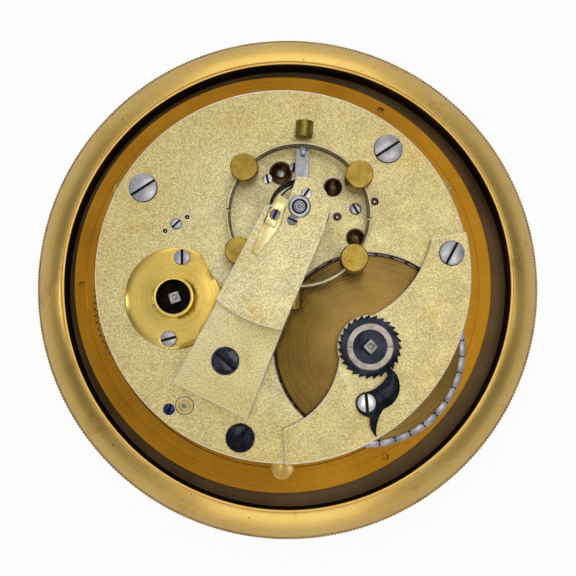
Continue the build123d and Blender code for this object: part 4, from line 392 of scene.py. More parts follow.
class Paint(Nodes):
    """A material with a Principled shader."""

    def __init__(self, name, **sockets):
        self.material = bpy.data.materials.new(name)
        self.material.use_nodes = True
        super().__init__(self.material.node_tree)
        self.shader = self.fill(self.tree.nodes["Principled BSDF"], sockets)
        self.coords = self.node("TexCoord").outputs["Object"]

    def noise(self, scale, detail=4.0, vector=None, roughness=0.6):
        """Noise with features of 1 / scale millimetres."""
        made = self.node("TexNoise", Scale=scale / MM, Detail=detail, Roughness=roughness,
                         Vector=vector or self.coords)
        return made.outputs["Fac"]

    def around(self, centre):
        """Coordinates (radius, 0, height) and the outward vector about a vertical axis."""
        origin = (centre[0] * MM, centre[1] * MM, 0)
        parts = self.node("SeparateXYZ", Vector=self.worked("VectorMath", "SUBTRACT", self.coords,
                                                            origin))
        flat = self.node("CombineXYZ", X=parts.outputs["X"], Y=parts.outputs["Y"]).outputs[0]
        both = self.node("CombineXYZ", X=self.worked("VectorMath", "LENGTH", flat), Y=0.0,
                         Z=parts.outputs["Z"])
        return both.outputs[0], flat

    def ramp(self, value, stops):
        """A colour ramp from (place, colour) stops."""
        made = self.node("ValToRGB", Fac=value)
        for element, (place, colour) in zip(made.color_ramp.elements, stops):
            element.position = place
            element.color = colour
        return made.outputs["Color"]

    def spots(self, value, start, end):
        """0 where the value is below start, rising to 1 at end."""
        return self.ramp(value, [(start, BLACK), (end, WHITE)])

    def mix(self, share, a, b, kind="MIX"):
        """Two colours mixed by share."""
        made = self.tree.nodes.new("ShaderNodeMix")
        made.data_type = "RGBA"
        made.blend_type = kind
        return self.fill(made, {0: share, 6: a, 7: b}).outputs[2]

    def colour(self, value):
        self.link(value, self.shader.inputs["Base Color"])

    def tone(self):
        """What the base colour has been linked to so far."""
        return self.shader.inputs["Base Color"].links[0].from_socket

    def rough(self, value):
        self.link(value, self.shader.inputs["Roughness"])

    def bump(self, value, strength, depth):
        made = self.node("Bump", Strength=strength, Distance=depth * MM, Height=value)
        previous = self.shader.inputs["Normal"]
        if previous.is_linked:
            self.link(previous.links[0].from_socket, made.inputs["Normal"])
        self.link(made.outputs["Normal"], previous)


def metal(name, light, dark, rough, patch=0.12, grain=2.5, grain_depth=0.02, spread=0.08):
    """Metal whose colour drifts between two tones, with a fine grain."""
    paint = Paint(name, Metallic=1.0)
    drift = paint.noise(patch, 5.0)
    paint.colour(paint.ramp(drift, [(0.35, linear(*dark)), (0.62, linear(*light))]))
    paint.rough(paint.span(paint.noise(patch * 4), 0.3, 0.7, rough - spread, rough + spread))
    paint.bump(paint.noise(grain, 2.0), 0.35, grain_depth)
    return paint


def turned_metal(name, light, dark, rough, centre, rings=3.0, depth=0.02, aniso=0.6):
    """Metal finished on a lathe: fine rings and reflections drawn out across them."""
    light, dark = linear(*light), linear(*dark)
    paint = Paint(name, Metallic=1.0, Anisotropic=aniso)
    rounds, flat = paint.around(centre)
    lines = paint.noise(rings, 3.0, rounds, 0.7)
    drift = paint.noise(0.06, 4.0)
    tone = paint.mix(0.45, paint.ramp(drift, [(0.35, dark), (0.65, light)]),
                     paint.ramp(lines, [(0.3, dark), (0.7, light)]))
    paint.colour(tone)
    paint.rough(paint.span(lines, 0.3, 0.7, rough - 0.06, rough + 0.06))
    paint.bump(lines, 0.5, depth)
    outwards = paint.node("VectorTransform", Vector=flat)
    outwards.vector_type = "VECTOR"
    outwards.convert_from = "OBJECT"
    outwards.convert_to = "WORLD"
    paint.link(outwards.outputs[0], paint.shader.inputs["Tangent"])
    return paint


def stained_brass():
    """The bezel's turned brass, with faint brown stains and a few dark pits."""
    paint = turned_metal("bezel brass", (244, 209, 124), (230, 188, 98), 0.32, AXIS, 2.0,
                         0.02, 0.6)
    stains = paint.spots(paint.noise(0.09, 5.0, None, 0.7), 0.56, 0.72)
    tone = paint.mix(stains, paint.tone(), linear(212, 164, 84))
    pits = paint.spots(paint.noise(0.7, 2.0), 0.72, 0.77)
    paint.colour(paint.mix(pits, tone, linear(132, 96, 50)))
    return paint


def frosted_gilt():
    """Pale frosted gilding with a fine sparkle, warmer towards the rim and in worn blotches."""
    paint = metal("frosted gilt", (247, 238, 192), (234, 220, 160), 0.4, 0.05, 4.0, 0.05)
    length = paint.node("SeparateXYZ", Vector=paint.around(CENTRE)[0]).outputs["X"]
    rim = paint.span(length, 0.2 * PLAN_R * MM, 1.05 * PLAN_R * MM, 0.0, 0.7)
    tone = paint.mix(rim, paint.tone(), linear(234, 209, 134))
    worn = paint.spots(paint.noise(0.16, 6.0, None, 0.75), 0.54, 0.70)
    tone = paint.mix(worn, tone, linear(226, 200, 126))
    grains = paint.ramp(paint.noise(3.4, 1.0), [(0.38, linear(208, 204, 194)), (0.62, WHITE)])
    paint.colour(paint.mix(1.0, tone, grains, "MULTIPLY"))
    return paint


def steel(name, light, dark, rough, patch=0.3):
    """Steel: smoother than the brass, with a faint grain."""
    return metal(name, light, dark, rough, patch, 1.2, 0.004, 0.04)


def glass():
    """The bezel's clear glass, faintly smudged."""
    paint = Paint("bezel glass", IOR=1.5, Transmission_Weight=1.0)
    smudge = paint.noise(0.05, 3.0)
    paint.rough(paint.span(smudge, 0.4, 0.8, 0.01, 0.06))
    paint.colour(paint.ramp(smudge, [(0.0, linear(250, 252, 252)), (1.0, linear(244, 249, 248))]))
    return paint


def silvered():
    """The dial's matt silvering."""
    paint = Paint("silvered dial", Metallic=0.55)
    tone = paint.noise(0.2, 5.0)
    paint.colour(paint.ramp(tone, [(0.3, linear(222, 221, 214)), (0.7, linear(236, 235, 229))]))
    paint.rough(paint.span(tone, 0.3, 0.7, 0.42, 0.5))
    paint.bump(paint.noise(3.0, 2.0), 0.3, 0.01)
    return paint


PAINTS = {
    "bezel_brass": stained_brass(),
    "gilt_plate": frosted_gilt(),
    # The ring's orange lacquered brass, its colour partly darkened as painted shade for the flange
    # deep under the bezel lip.
    "orange_brass": turned_metal("orange lacquered brass darkened for shade", (170, 120, 34), (138, 92, 18),
                                 0.24, CENTRE, 2.0, 0.02, 0.8),
    "polished_brass": metal("polished brass", (214, 178, 100), (186, 148, 70), 0.24, 0.2),
    "wheel_brass": metal("wheel brass", (218, 180, 98), (196, 156, 76), 0.3, 0.2),
    "barrel_brass": turned_metal("barrel brass", (206, 168, 98), (170, 130, 66), 0.28,
                                 BARREL, 2.4, 0.03, 0.8),
    "polished_steel": steel("polished steel", (146, 144, 143), (104, 102, 102), 0.14),
    "grey_steel": steel("grey steel", (178, 175, 172), (132, 128, 124), 0.28),
    "blued_steel": steel("blued steel", (74, 76, 92), (44, 44, 58), 0.16),
    "black_steel": steel("black polished steel", (44, 46, 54), (22, 23, 29), 0.12),
    "spring_steel": steel("spring steel", (54, 58, 84), (34, 36, 52), 0.2),
    "glass": glass(),
    "dial_silver": silvered(),
    "hand_gold": metal("hand gold", (206, 162, 84), (180, 136, 60), 0.2, 0.3)}


def edge_highlight():
    """The broken edges of the frosted plates, given a painted highlight: a pale, half-metallic paint
    that shows them bright.
    """
    paint = metal("painted edge highlight", (255, 250, 236), (240, 232, 206), 0.4, 0.4)
    paint.shader.inputs["Metallic"].default_value = 0.45
    return paint


EDGE_HIGHLIGHT = edge_highlight()
# Dark paint for the floors of screw slots and the chain's inner links: painted shade.
PAINTED_SHADE = metal("slot floor", (46, 44, 44), (24, 23, 24), 0.5, 0.5)
SCREW_GREY = steel("screw grey", (188, 186, 188), (160, 158, 160), 0.3, 0.5)
# Darker copies of the screws' steel: the dark reflection of a head is painted into its colour.
SCREW_DARK_REFLECTION = steel("screw painted dark reflection", (66, 66, 74), (38, 38, 46), 0.12, 0.5)
# Dark brown paint that stands in for the shade in the oil sinks and in the steady pins' holes.
HOLLOW_SHADE = turned_metal("oil sink", (112, 82, 44), (58, 40, 20), 0.3, AXIS, 4.0, 0.01, 0.0)
POCKET_GOLD = metal("milled pocket", (246, 232, 178), (234, 214, 144), 0.3, 0.6, 2.0, 0.02)
WEIGHT_GOLD = metal("weight gold", (172, 144, 68), (146, 118, 46), 0.3, 0.5)
COIN_BRASS = metal("coin edge brass", (168, 138, 78), (132, 104, 54), 0.34, 0.3)
BUSH_BRASS = metal("bush brass", (214, 190, 130), (188, 162, 100), 0.3, 0.5)
CAP_GREY = steel("setting grey", (150, 150, 156), (112, 112, 118), 0.2, 0.5)
# A near-white copy of the steel: the highlight on small domed heads and pins, painted into their
# colour.
PIN_HIGHLIGHT = steel("pin painted highlight", (226, 224, 222), (198, 196, 194), 0.2, 0.5)
SCREW_DEEP_REFLECTION = steel("screw painted deeper reflection", (44, 44, 52), (24, 24, 31), 0.12, 0.5)
SCREW_BLUE = steel("screw blue", (52, 60, 104), (34, 40, 76), 0.16, 0.5)
CHAIN_GREY = metal("chain grey", (188, 184, 186), (132, 130, 136), 0.3, 0.25, 0.8, 0.002)
INK = metal("dial ink", (30, 30, 32), (20, 20, 22), 0.5, 0.5)
# Near-black paint that stands in for the shade deep inside the dust tube.
BORE_SHADE = metal("painted shade in the bore", (40, 34, 28), (18, 15, 12), 0.5, 0.5)
CAP_GOLD = turned_metal("cap gold", (240, 210, 116), (216, 180, 82), 0.26, FUSEE, 2.4,
                        0.015, 0.7)
RIM_BRASS = metal("rim brass", (212, 200, 158), (184, 170, 126), 0.34, 0.6)
RIM_STEEL = metal("rim steel", (112, 104, 82), (84, 76, 58), 0.34, 0.6)
COVER_BROWN = turned_metal("turned cover", (164, 132, 70), (104, 78, 34), 0.27, BARREL,
                           3.0, 0.03, 0.85)
# The thread inside the bezel: a dark brown paint that stands in for the shade deep under the lip.
THREAD_SHADE = turned_metal("thread painted dark for shade", (122, 98, 66), (78, 60, 40), 0.42, AXIS, 1.5,
                    0.02, 0.4)


def collar_steel():
    """Warm grey steel with two fine marks across the ring."""
    paint = steel("collar steel", (160, 152, 142), (124, 117, 108), 0.26, 0.5)
    across = paint.node("SeparateXYZ", Vector=paint.around(BARREL)[1]).outputs["Y"]
    away = paint.worked("Math", "ABSOLUTE", across)
    marks = paint.span(away, 0.08 * MM, 0.14 * MM, 1.0, 0.0)
    paint.colour(paint.mix(marks, paint.tone(), linear(92, 84, 78)))
    return paint


COLLAR_STEEL = collar_steel()

UNBEVELLED = ("fusee_chain", "helical_spring", "mainspring", "great_wheel", "centre_wheel",
              "third_wheel", "fourth_wheel", "up_down_wheel", "hour_wheel", "minute_wheel",
              "maintaining_ratchet", "bezel_glass")


def dress_cad():
    """Better materials and softened edges on the CAD nodes that stay."""
    for row in frame["record"]["subparts"]:
        node = frame["nodes"][row["node"]]
        node.data.materials.clear()
        node.data.materials.append(PAINTS[row["material_slot"]].material)
        weld = node.modifiers.new("weld", "WELD")
        weld.merge_threshold = 1e-6
        if row["node"] not in UNBEVELLED:
            bevel = node.modifiers.new("edges", "BEVEL")
            bevel.width = CAD_EDGE * MM
            bevel.segments = 2
            bevel.limit_method = "ANGLE"
            bevel.angle_limit = radians(40)
            bevel.harden_normals = True
        for face in node.data.polygons:
            face.use_smooth = True
        node.data.set_sharp_from_angle(angle=radians(35))


# Screws and pins

PILLAR_SCREW_R = 3.1
BRIDGE_SCREW_R = 2.65
COCK_SCREW_R = 2.85
HEAD_T = 1.2
HEAD_RISE = 0.25
COCK_HEAD_RISE = 0.2
HEAD_GAP = 0.06
SLOT_W = 0.5
SLOT_DEPTH = 0.45
SMALL_HEAD_T = 0.9
SMALL_SLOT_DEPTH = 0.35

# The slot's angle and the paint of each screw, in the order of solids. The paints are lighter and
# darker copies of one steel, painting the reflection each head shows.
PILLAR_SCREWS = ((33.0, SCREW_GREY), (55.0, SCREW_DEEP_REFLECTION), (33.0, SCREW_GREY), (62.0, SCREW_GREY))
COCK_SLOT_ANGLE = -42.0
# Most of the small screws' paints are lighter and darker copies of one steel, partly painting the
# highlights and reflections their heads show.
SMALL_SCREWS = {"small_plate_screws": ((15.0, SCREW_GREY), (60.0, SCREW_BLUE), (45.0, SCREW_GREY),
                                       (90.0, SCREW_GREY), (120.0, SCREW_GREY)),
                "jewel_setting_screws": ((105.0, PIN_HIGHLIGHT), (-25.0, CAP_GREY), (80.0, SCREW_GREY),
                                         (55.0, PIN_HIGHLIGHT)),
                "spring_stud_screw": ((65.0, CAP_GREY),),
                "click_screw": ((95.0, PIN_HIGHLIGHT),)}


def tube(inner, outer, low, high):
    """The profile of a plain tube, or of a disc where inner is 0."""
    return [(inner, low), (outer, low), (outer, high), (inner, high)]


def half_disc(centre, radius, gap, angle, steps=24):
    """The part of a disc that lies on one side of a slot at an angle."""
    lean = degrees(asin(gap / radius))
    return arc(centre, radius, angle + lean, angle + 180.0 - lean, steps)


def slotted(name, centre, radius, low, high, slot, angle, paint, depth=SLOT_DEPTH):
    """A screw head with a real slot, a bright broken edge and a slot floor painted dark as its shade.
    """
    floor_z = high - depth
    halves = [half_disc(centre, radius, slot / 2, angle + turn) for turn in (0.0, 180.0)]
    parts = [plate([half], floor_z - 0.1, high, 0.1) for half in halves]
    piece(name + "_head", merged(parts), "polished_steel", sharp=25, paint=paint)
    core = [(0.0, low - 1.0), (radius * 0.5, low - 1.0), (radius * 0.5, low), (radius - 0.02, low),
            (radius - 0.02, floor_z), (0.0, floor_z)]
    piece(name + "_core", lathe(centre, core, 40), "polished_steel", sharp=30, paint=PAINTED_SHADE)


def plate_screws():
    """The five large screws of the top plate, bridge and cock, each as wide as it shows."""
    for index, screw in enumerate(solids("pillar_screws")):
        wide = BRIDGE_SCREW_R if screw.high > BRIDGE_TOP else PILLAR_SCREW_R
        slotted("pillar_screw_%d" % index, screw.place, wide, screw.high - HEAD_T,
                screw.high + HEAD_RISE, SLOT_W, *PILLAR_SCREWS[index])
    for screw in solids("balance_cock_screw"):
        slotted("cock_screw", screw.place, COCK_SCREW_R, screw.high - HEAD_T,
                screw.high + COCK_HEAD_RISE, SLOT_W, COCK_SLOT_ANGLE, SCREW_DARK_REFLECTION)
    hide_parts("pillar_screws")
    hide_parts("balance_cock_screw")


def small_screws():
    """The small screws, each with its slot turned as in the photograph."""
    for node, looks in SMALL_SCREWS.items():
        for index, screw in enumerate(solids(node)):
            slotted("%s_%d" % (node, index), screw.place, screw.radius, screw.high - SMALL_HEAD_T,
                    screw.high, 0.26 * screw.radius + 0.06, *looks[index], SMALL_SLOT_DEPTH)
        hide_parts(node)


def sunk(place, profile, segments):
    """A turned mesh whose heights are measured from the face of the top plate."""
    return lathe(place, [(radius, TOP_Z + height) for radius, height in profile], segments)


def bushes():
    """Oil sinks painted dark brown as the shade in their hollows, with a bright pivot, and one flat
    brass bush.
    """
    cups, discs, tips = [], [], []
    for place, radius, low, high in solids("plate_bushes"):
        foot = [(0.0, low - TOP_Z), (radius, low - TOP_Z), (radius, 0.0)]
        if place[1] < 0.0:
            disc = foot + [(radius * 0.62, 0.0), (radius * 0.56, -0.2), (0.0, -0.2)]
            pivot = [(0.0, -0.3), (radius * 0.34, -0.3), (radius * 0.3, -0.05), (0.0, 0.0)]
            discs.append(sunk(place, disc, 48))
        else:
            tip = 0.9 if radius > 2.2 else 0.42
            cup = foot + [(radius - 0.14, 0.0), (radius * 0.72, -0.5), (radius * 0.4, -0.85),
                          (0.0, -0.95)]
            pivot = [(0.0, -1.0), (tip, -1.0), (tip - 0.12, -0.6), (0.0, -0.45)]
            cups.append(sunk(place, cup, 48))
        tips.append(sunk(place, pivot, 24))
    piece("bush_cups", merged(cups), "orange_brass", nodes=["plate_bushes"], paint=HOLLOW_SHADE)
    piece("bush_disc", merged(discs), "polished_brass", paint=BUSH_BRASS)
    piece("pivot_tips", merged(tips), "polished_steel", sharp=40, paint=CAP_GREY)


BRIDGE_PIN_R = 1.0


def pin_sizes(place):
    """Hole and pin radii: small at the left of the top plate, larger elsewhere on it."""
    return (0.5, 0.24) if place[0] < -18.0 else (0.88, 0.42)


def steady_pins():
    """Small domed pins at the bottom of holes lined with painted shade, and the bridge's flush brass
    pin.
    """
    pins, bore_shades, discs = [], [], []
    for place, radius, low, high in solids("steady_pins"):
        if high > BRIDGE_TOP - 1.0:
            disc = tube(0.0, BRIDGE_PIN_R, BRIDGE_TOP - 1.0, BRIDGE_TOP - 0.02)
            discs.append(lathe(place, disc, 40))
            continue
        hole, pin = pin_sizes(place)
        pins.append(sunk(place, [(0.0, -2.6), (pin, -2.6), (pin, -0.75), (pin * 0.7, -0.5),
                                 (0.0, -0.4)], 24))
        bore_shades.append(sunk(place, [(pin + 0.02, -2.4), (hole + 0.05, -2.4), (hole + 0.05, -0.25),
                                    (hole, -0.25), (hole, -1.4), (pin + 0.02, -1.4)], 24))
    piece("steady_pin_tips", merged(pins), "polished_steel", nodes=["steady_pins"], sharp=40,
          paint=PIN_HIGHLIGHT)
    piece("bridge_pin", merged(discs), "polished_brass", paint=BUSH_BRASS)
    piece("steady_pin_bore_shades", merged(bore_shades), "gilt_plate", sharp=40, paint=HOLLOW_SHADE)


# Bezel

def bezel():
    """The turned bezel, the thread inside it, painted dark brown as the shade in the recess under the
    lip, and its coin edge.
    """
    coin_foot = (BEZEL_R - 0.45, COIN_HIGH + 0.2)
    lip_out = (LIP_R + LIP_T, BEZEL_H)
    skirt_mid = ((coin_foot[0] + lip_out[0]) / 2 + 1.0, (coin_foot[1] + lip_out[1]) / 2 + 0.6)
    front_end = (BEZEL_R - 0.5, COIN_LOW - 0.5)
    front_mid = ((BEZEL_FRONT_R + front_end[0]) / 2 + 1.1, front_end[1] / 2 - 1.0)
    profile = [(SIGHT_R, GLASS_LOW), (SIGHT_R, 0.25), (SIGHT_R + 0.25, 0.02)]
    profile += arc_through((BEZEL_FRONT_R, 0.02), front_mid, front_end, 16)
    inset = BEZEL_R - COIN_DEPTH
    profile += [(inset, COIN_LOW), (inset, COIN_HIGH)]
    profile += arc_through(coin_foot, skirt_mid, lip_out, 20)
    profile += [(LIP_R + out, BEZEL_H - down) for out, down in LIP_GROOVE]
    profile += [(LIP_R + 0.6, BEZEL_H - LIP_T - 0.3), (LIP_R + 0.6, LEDGE_Z - 0.2),
                (GLASS_R, LEDGE_Z - 0.2), (GLASS_R, GLASS_LOW)]
    piece("bezel_body", lathe(AXIS, profile, ROUND), "bezel_brass", nodes=["bezel_ring"], sharp=38)
    wall_top = BEZEL_H - LIP_T - 0.1
    profile = [(LIP_R + 0.7, wall_top), (LIP_R, wall_top)]
    z = BEZEL_H - LIP_T - THREAD_PITCH
    while z > LEDGE_Z + THREAD_PITCH:
        profile += [(LIP_R + THREAD_DEPTH, z + THREAD_PITCH / 2), (LIP_R, z)]
        z -= THREAD_PITCH
    profile += [(LIP_R, LEDGE_Z + 0.5), (LIP_R + 0.5, LEDGE_Z + 0.5), (LIP_R + 0.5, LEDGE_Z),
                (GLASS_R, LEDGE_Z), (GLASS_R, LEDGE_Z - 0.3), (LIP_R + 0.7, LEDGE_Z - 0.3)]
    piece("bezel_thread", lathe(AXIS, profile, ROUND), "bezel_brass", paint=THREAD_SHADE)
    outline = []
    step = 360.0 / COIN_TEETH
    for i in range(COIN_TEETH):
        outline += [polar(inset, i * step), polar(BEZEL_R, (i + 0.35) * step),
                    polar(BEZEL_R, (i + 0.65) * step)]
    band = plate([outline, ring(AXIS, BEZEL_R - 2.0, ROUND)], COIN_LOW - 0.2, COIN_HIGH + 0.2, 0.05)
    piece("bezel_coin_edge", band, "bezel_brass", paint=COIN_BRASS)


# Ring, plates, bridge and cock

def movement_ring():
    """The stepped ring that holds the pillar plate, with its three small holes."""
    flange_top = FLOOR_Z - RING_STEP_H
    flange_low = flange_top - 1.9
    outer, inner, shoulder_out, shoulder_in = (
        ring(CENTRE, radius, ROUND) for radius in (RING_R, RING_STEP_R - 0.3, RING_STEP_R, PLAN_R))
    holes = [ring(polar(RING_HOLE_CIRCLE_R, angle, CENTRE), RING_HOLE_R, 24)
             for angle in RING_HOLE_ANGLES]
    flange = plate([outer, inner] + holes, flange_top - 2.0, flange_top)
    shoulder = plate([shoulder_out, shoulder_in], PLATE_LOW, FLOOR_Z)
    skirt = lathe(CENTRE, [
        (RING_R, RING_LOW), (RING_R, flange_low), (PLAN_R, flange_low), (PLAN_R, PLATE_LOW),
        (PLATE_R - 2.1, PLATE_LOW), (PLATE_R - 2.1, DIAL_TOP), (DIAL_R, DIAL_TOP),
        (DIAL_R, RING_LOW)], ROUND)
    piece("movement_ring_body", merged([flange, shoulder, skirt]), "orange_brass",
          nodes=["movement_ring"])


def at(x, y):
    """A place measured from the centre arbor, from shares of the pillar plate's radius."""
    return (CENTRE[0] + x * PLAN_R, CENTRE[1] + y * PLAN_R)


def meeting(a, radius_a, b, radius_b):
    """The angles, seen from a, at which two circles cross."""
    span = distance(a, b)
    half = degrees(acos((radius_a ** 2 + span ** 2 - radius_b ** 2) / (2 * radius_a * span)))
    return direction(a, b) - half, direction(a, b) + half


def sweep_between(start, end, turn):
    """The end angle that is reached from start going one way round: turn is 1 or -1."""
    return start + turn * ((turn * (end - start)) % 360)


def crossing(a, b, centre, radius):
    """The point between a and b that lies at a radius from centre."""
    low, high = 0.0, 1.0
    inside = distance(a, centre) < radius
    for _ in range(30):
        share = (low + high) / 2
        point = (a[0] + (b[0] - a[0]) * share, a[1] + (b[1] - a[1]) * share)
        if (distance(point, centre) < radius) == inside:
            low = share
        else:
            high = share
    return point


COCK_ARM_LOW = bottom("cock_jewel_setting")
COCK_TOP = COCK_ARM_LOW + 3.5
COCK_FOOT_TOP = top("balance_cock_screw") - 0.3
COCK_POCKET_DEPTH = 1.4
POCKET_SLOPE = 0.16
SETTING_R = reach("cock_jewel_setting") + 0.02
COCK_TIP_R = 0.1410 * PLAN_R
COCK_RISER_R = 0.4821 * PLAN_R
COCK_STEP_R = 0.5804 * PLAN_R
COCK_SHOULDER_RIGHT = at(0.2210, 0.2400)
COCK_WAIST_RIGHT = at(0.1960, 0.1680)
COCK_TIP_CORNER = at(0.0692, 0.4219)
COCK_NOTCH = at(0.0290, 0.3103)
COCK_SHOULDER_LEFT = at(-0.0759, 0.2924)
COCK_FOOT_INNER_LEFT = at(-0.3103, -0.1563)
COCK_FOOT_OUTER_LEFT = at(-0.5156, -0.5312)
COCK_FOOT_OUTER_RIGHT = at(-0.1629, -0.7009)
COCK_FOOT_INNER_RIGHT = at(-0.0022, -0.2946)
COCK_POCKET = (at(-0.0558, 0.2879), at(-0.1406, 0.0714), at(-0.1161, 0.0513), at(-0.0045, 0.2009),
               at(0.0223, 0.2969))


def pillar_plate():
    """The plain pillar plate, with the holes of two arbors."""
    data = pierced(ring(CENTRE, PLATE_R, ROUND), [(FUSEE, 1.7), (BARREL, 2.1)], PLATE_LOW,
                   FLOOR_Z, steps=32)
    piece("pillar_plate_disc", data, "orange_brass", nodes=["pillar_plate"])


def top_plate():
    """The frosted top plate, cut away round the barrel."""
    opening = DRUM_R + CUTOUT_GAP
    first, second = meeting(CENTRE, TOP_R, BARREL, opening)
    outline = arc(CENTRE, TOP_R, second, sweep_between(second, first, 1), 220)
    inner = [direction(BARREL, polar(TOP_R, angle, CENTRE)) for angle in (first, second)]
    outline += arc(BARREL, opening, inner[0], sweep_between(inner[0], inner[1], -1), 120)[1:-1]
    holes = [(screw.place, PILLAR_SCREW_R + HEAD_GAP) for screw in solids("pillar_screws")
             if screw.high < BRIDGE_TOP]
    holes += [(screw.place, screw.radius + HEAD_GAP) for screw in solids("small_plate_screws")
              if screw.high < TOP_Z + 0.6]
    holes += [(bush.place, bush.radius + BUSH_GAP) for bush in solids("plate_bushes")]
    holes += [(pin.place, pin_sizes(pin.place)[0]) for pin in solids("steady_pins")
              if pin.high < TOP_Z + 0.1]
    holes += [(FUSEE, TUBE_BORE_R), (BALANCE, ROLLER_HOLE_R), (CENTRE, CENTRE_HOLE_R)]
    piece("top_plate_gilt", pierced(outline, holes, TOP_LOW, TOP_Z, 0.2), "gilt_plate",
          nodes=["top_plate"])


def barrel_bridge():
    """The horned bridge over the barrel."""
    right_rim = polar(TOP_R, 12.9, CENTRE)
    right_horn = polar(HORN_R, 13.1, CENTRE)
    lobe = [polar(LOBE_R, angle, BARREL) for angle in (83.4, 142.0, 200.8)]
    left_horn = polar(HORN_R, -89.5, CENTRE)
    left_rim = polar(TOP_R, -88.9, CENTRE)
    outline = [right_rim] + arc_through(right_horn, polar(BRIDGE_RIGHT_R, 56.4, BARREL), lobe[0], 40)
    outline += arc_through(*lobe, 30)[1:]
    outline += arc_through(lobe[2], polar(BRIDGE_LEFT_R, 228.3, BARREL), left_horn, 40)[1:]
    outline += arc_through(left_rim, polar(TOP_R, -38.0, CENTRE), right_rim, 120)[:-1]
    holes = [(BARREL, ARBOR_HOLE_R)]
    for node, radius in (("pillar_screws", BRIDGE_SCREW_R + HEAD_GAP),
                         ("steady_pins", BRIDGE_PIN_R)):
        holes += [(held.place, radius) for held in solids(node) if held.high > BRIDGE_TOP - 1.0]
    piece("barrel_bridge_gilt", pierced(outline, holes, TOP_Z, BRIDGE_TOP, 0.22), "gilt_plate",
          nodes=["barrel_bridge"])


def balance_cock():
    """The cock: a foot, a riser and an arm with a milled pocket and a hole for the setting."""
    tip = arc(BALANCE, COCK_TIP_R, direction(BALANCE, COCK_SHOULDER_RIGHT),
              direction(BALANCE, COCK_TIP_CORNER), 40)
    left = (COCK_SHOULDER_LEFT, COCK_FOOT_INNER_LEFT)
    right = (COCK_FOOT_INNER_RIGHT, COCK_WAIST_RIGHT)

    def curve(radius, turn):
        """The arc of a radius about the balance that runs between the cock's two sides."""
        a, b = (direction(BALANCE, crossing(*edge, BALANCE, radius)) for edge in (left, right))
        if turn < 0:
            a, b = b, a
        return arc(BALANCE, radius, a, sweep_between(a, b, turn), 40)

    arm = tip + [COCK_NOTCH, COCK_SHOULDER_LEFT] + curve(COCK_STEP_R, 1)
    arm.append(COCK_WAIST_RIGHT)
    foot = ([COCK_FOOT_INNER_LEFT, COCK_FOOT_OUTER_LEFT, COCK_FOOT_OUTER_RIGHT,
             COCK_FOOT_INNER_RIGHT] + curve(COCK_RISER_R, -1))
    riser = curve(COCK_RISER_R, 1) + curve(COCK_STEP_R, -1)
    floor_z = COCK_TOP - COCK_POCKET_DEPTH
    setting = ring(BALANCE, SETTING_R, 48)
    holes = [(screw.place, COCK_SCREW_R + HEAD_GAP) for screw in solids("balance_cock_screw")]
    parts = [
        plate([arm, setting], COCK_ARM_LOW, floor_z + 0.1, 0.08),
        plate([arm, setting, COCK_POCKET], floor_z, COCK_TOP, 0.16),
        pierced(foot, holes, TOP_Z, COCK_FOOT_TOP, 0.18),
        plate([riser], COCK_FOOT_TOP - 3.0, COCK_ARM_LOW + 1.0, 0.05)]
    piece("balance_cock_gilt", merged(parts), "gilt_plate", nodes=["balance_cock"])
    piece("cock_pocket_floor", plate([COCK_POCKET], floor_z - 0.2, floor_z + 0.14, 0.02),
          "gilt_plate", sharp=30, paint=POCKET_GOLD)
    walls = [slope(a, b, floor_z + 0.14, COCK_TOP - 0.02)
             for a, b in zip(COCK_POCKET, COCK_POCKET[1:4])]
    piece("cock_pocket_walls", merged(walls), "gilt_plate", paint=POCKET_GOLD)
    setting_rings()


def slope(a, b, low, high):
    """A slanting strip from the edge a to b down into the pocket."""
    near, far = COCK_POCKET[1], COCK_POCKET[3]
    middle = ((near[0] + far[0]) / 2, (near[1] + far[1]) / 2)
    c, d = ((p[0] + (middle[0] - p[0]) * POCKET_SLOPE, p[1] + (middle[1] - p[1]) * POCKET_SLOPE)
            for p in (b, a))
    verts = [(a[0], a[1], high), (b[0], b[1], high), (c[0], c[1], low), (d[0], d[1], low),
             (a[0], a[1], low), (b[0], b[1], low)]
    data = bpy.data.meshes.new("slope")
    data.from_pydata([tuple(v * MM for v in vert) for vert in verts], [],
                     [(0, 1, 2, 3), (0, 4, 5, 1), (3, 2, 5, 4), (0, 3, 4), (1, 5, 2)])
    return outward(data)


def setting_rings():
    """The jewel setting of the balance: a bright rim, a dark groove and an inner cap."""
    base = COCK_ARM_LOW
    top_z = top("cock_jewel_setting")
    radius = SETTING_R - 0.02
    rim = [(radius * 0.60, base), (radius, base), (radius, top_z - 0.25), (radius - 0.2, top_z - 0.05)]
    rim += [(radius * share, top_z - down)
            for share, down in ((0.72, 0.05), (0.66, 0.3), (0.60, 0.5))]
    piece("setting_rim", lathe(BALANCE, rim, 64), "polished_steel", nodes=["cock_jewel_setting"],
          sharp=30, paint=SCREW_GREY)
    cap = [(0.0, base), (radius * 0.58, base)]
    cap += [(radius * share, top_z - down)
            for share, down in ((0.58, 0.3), (0.5, 0.12), (0.42, 0.12), (0.36, 0.35), (0.2, 0.35),
                                (0.12, 0.15), (0.0, 0.12))]
    piece("setting_cap", lathe(BALANCE, cap, 64), "polished_steel", sharp=30, paint=CAP_GREY)


def fusee_cap():
    """A wall and a floor of painted shade in the dust tube, and the gold of the cap and the spring
    stud.
    """
    bore = TUBE_BORE_R
    shade_wall = tube(bore - 0.04, bore + 0.01, TOP_LOW + 0.5, top("fusee_cap") - 0.35)
    disc = tube(reach("fusee_arbor") * 0.45, bore - 0.06, TOP_Z - 0.6, TOP_Z - 0.3)
    for name, profile in (("dust_tube_shade_wall", shade_wall), ("dust_tube_shade_floor", disc)):
        piece(name, lathe(FUSEE, profile, 64), "orange_brass", sharp=30, paint=BORE_SHADE)
    frame["nodes"]["fusee_cap"].data.materials[0] = CAP_GOLD.material
    frame["nodes"]["spring_stud"].data.materials[0] = POCKET_GOLD.material


# Balance

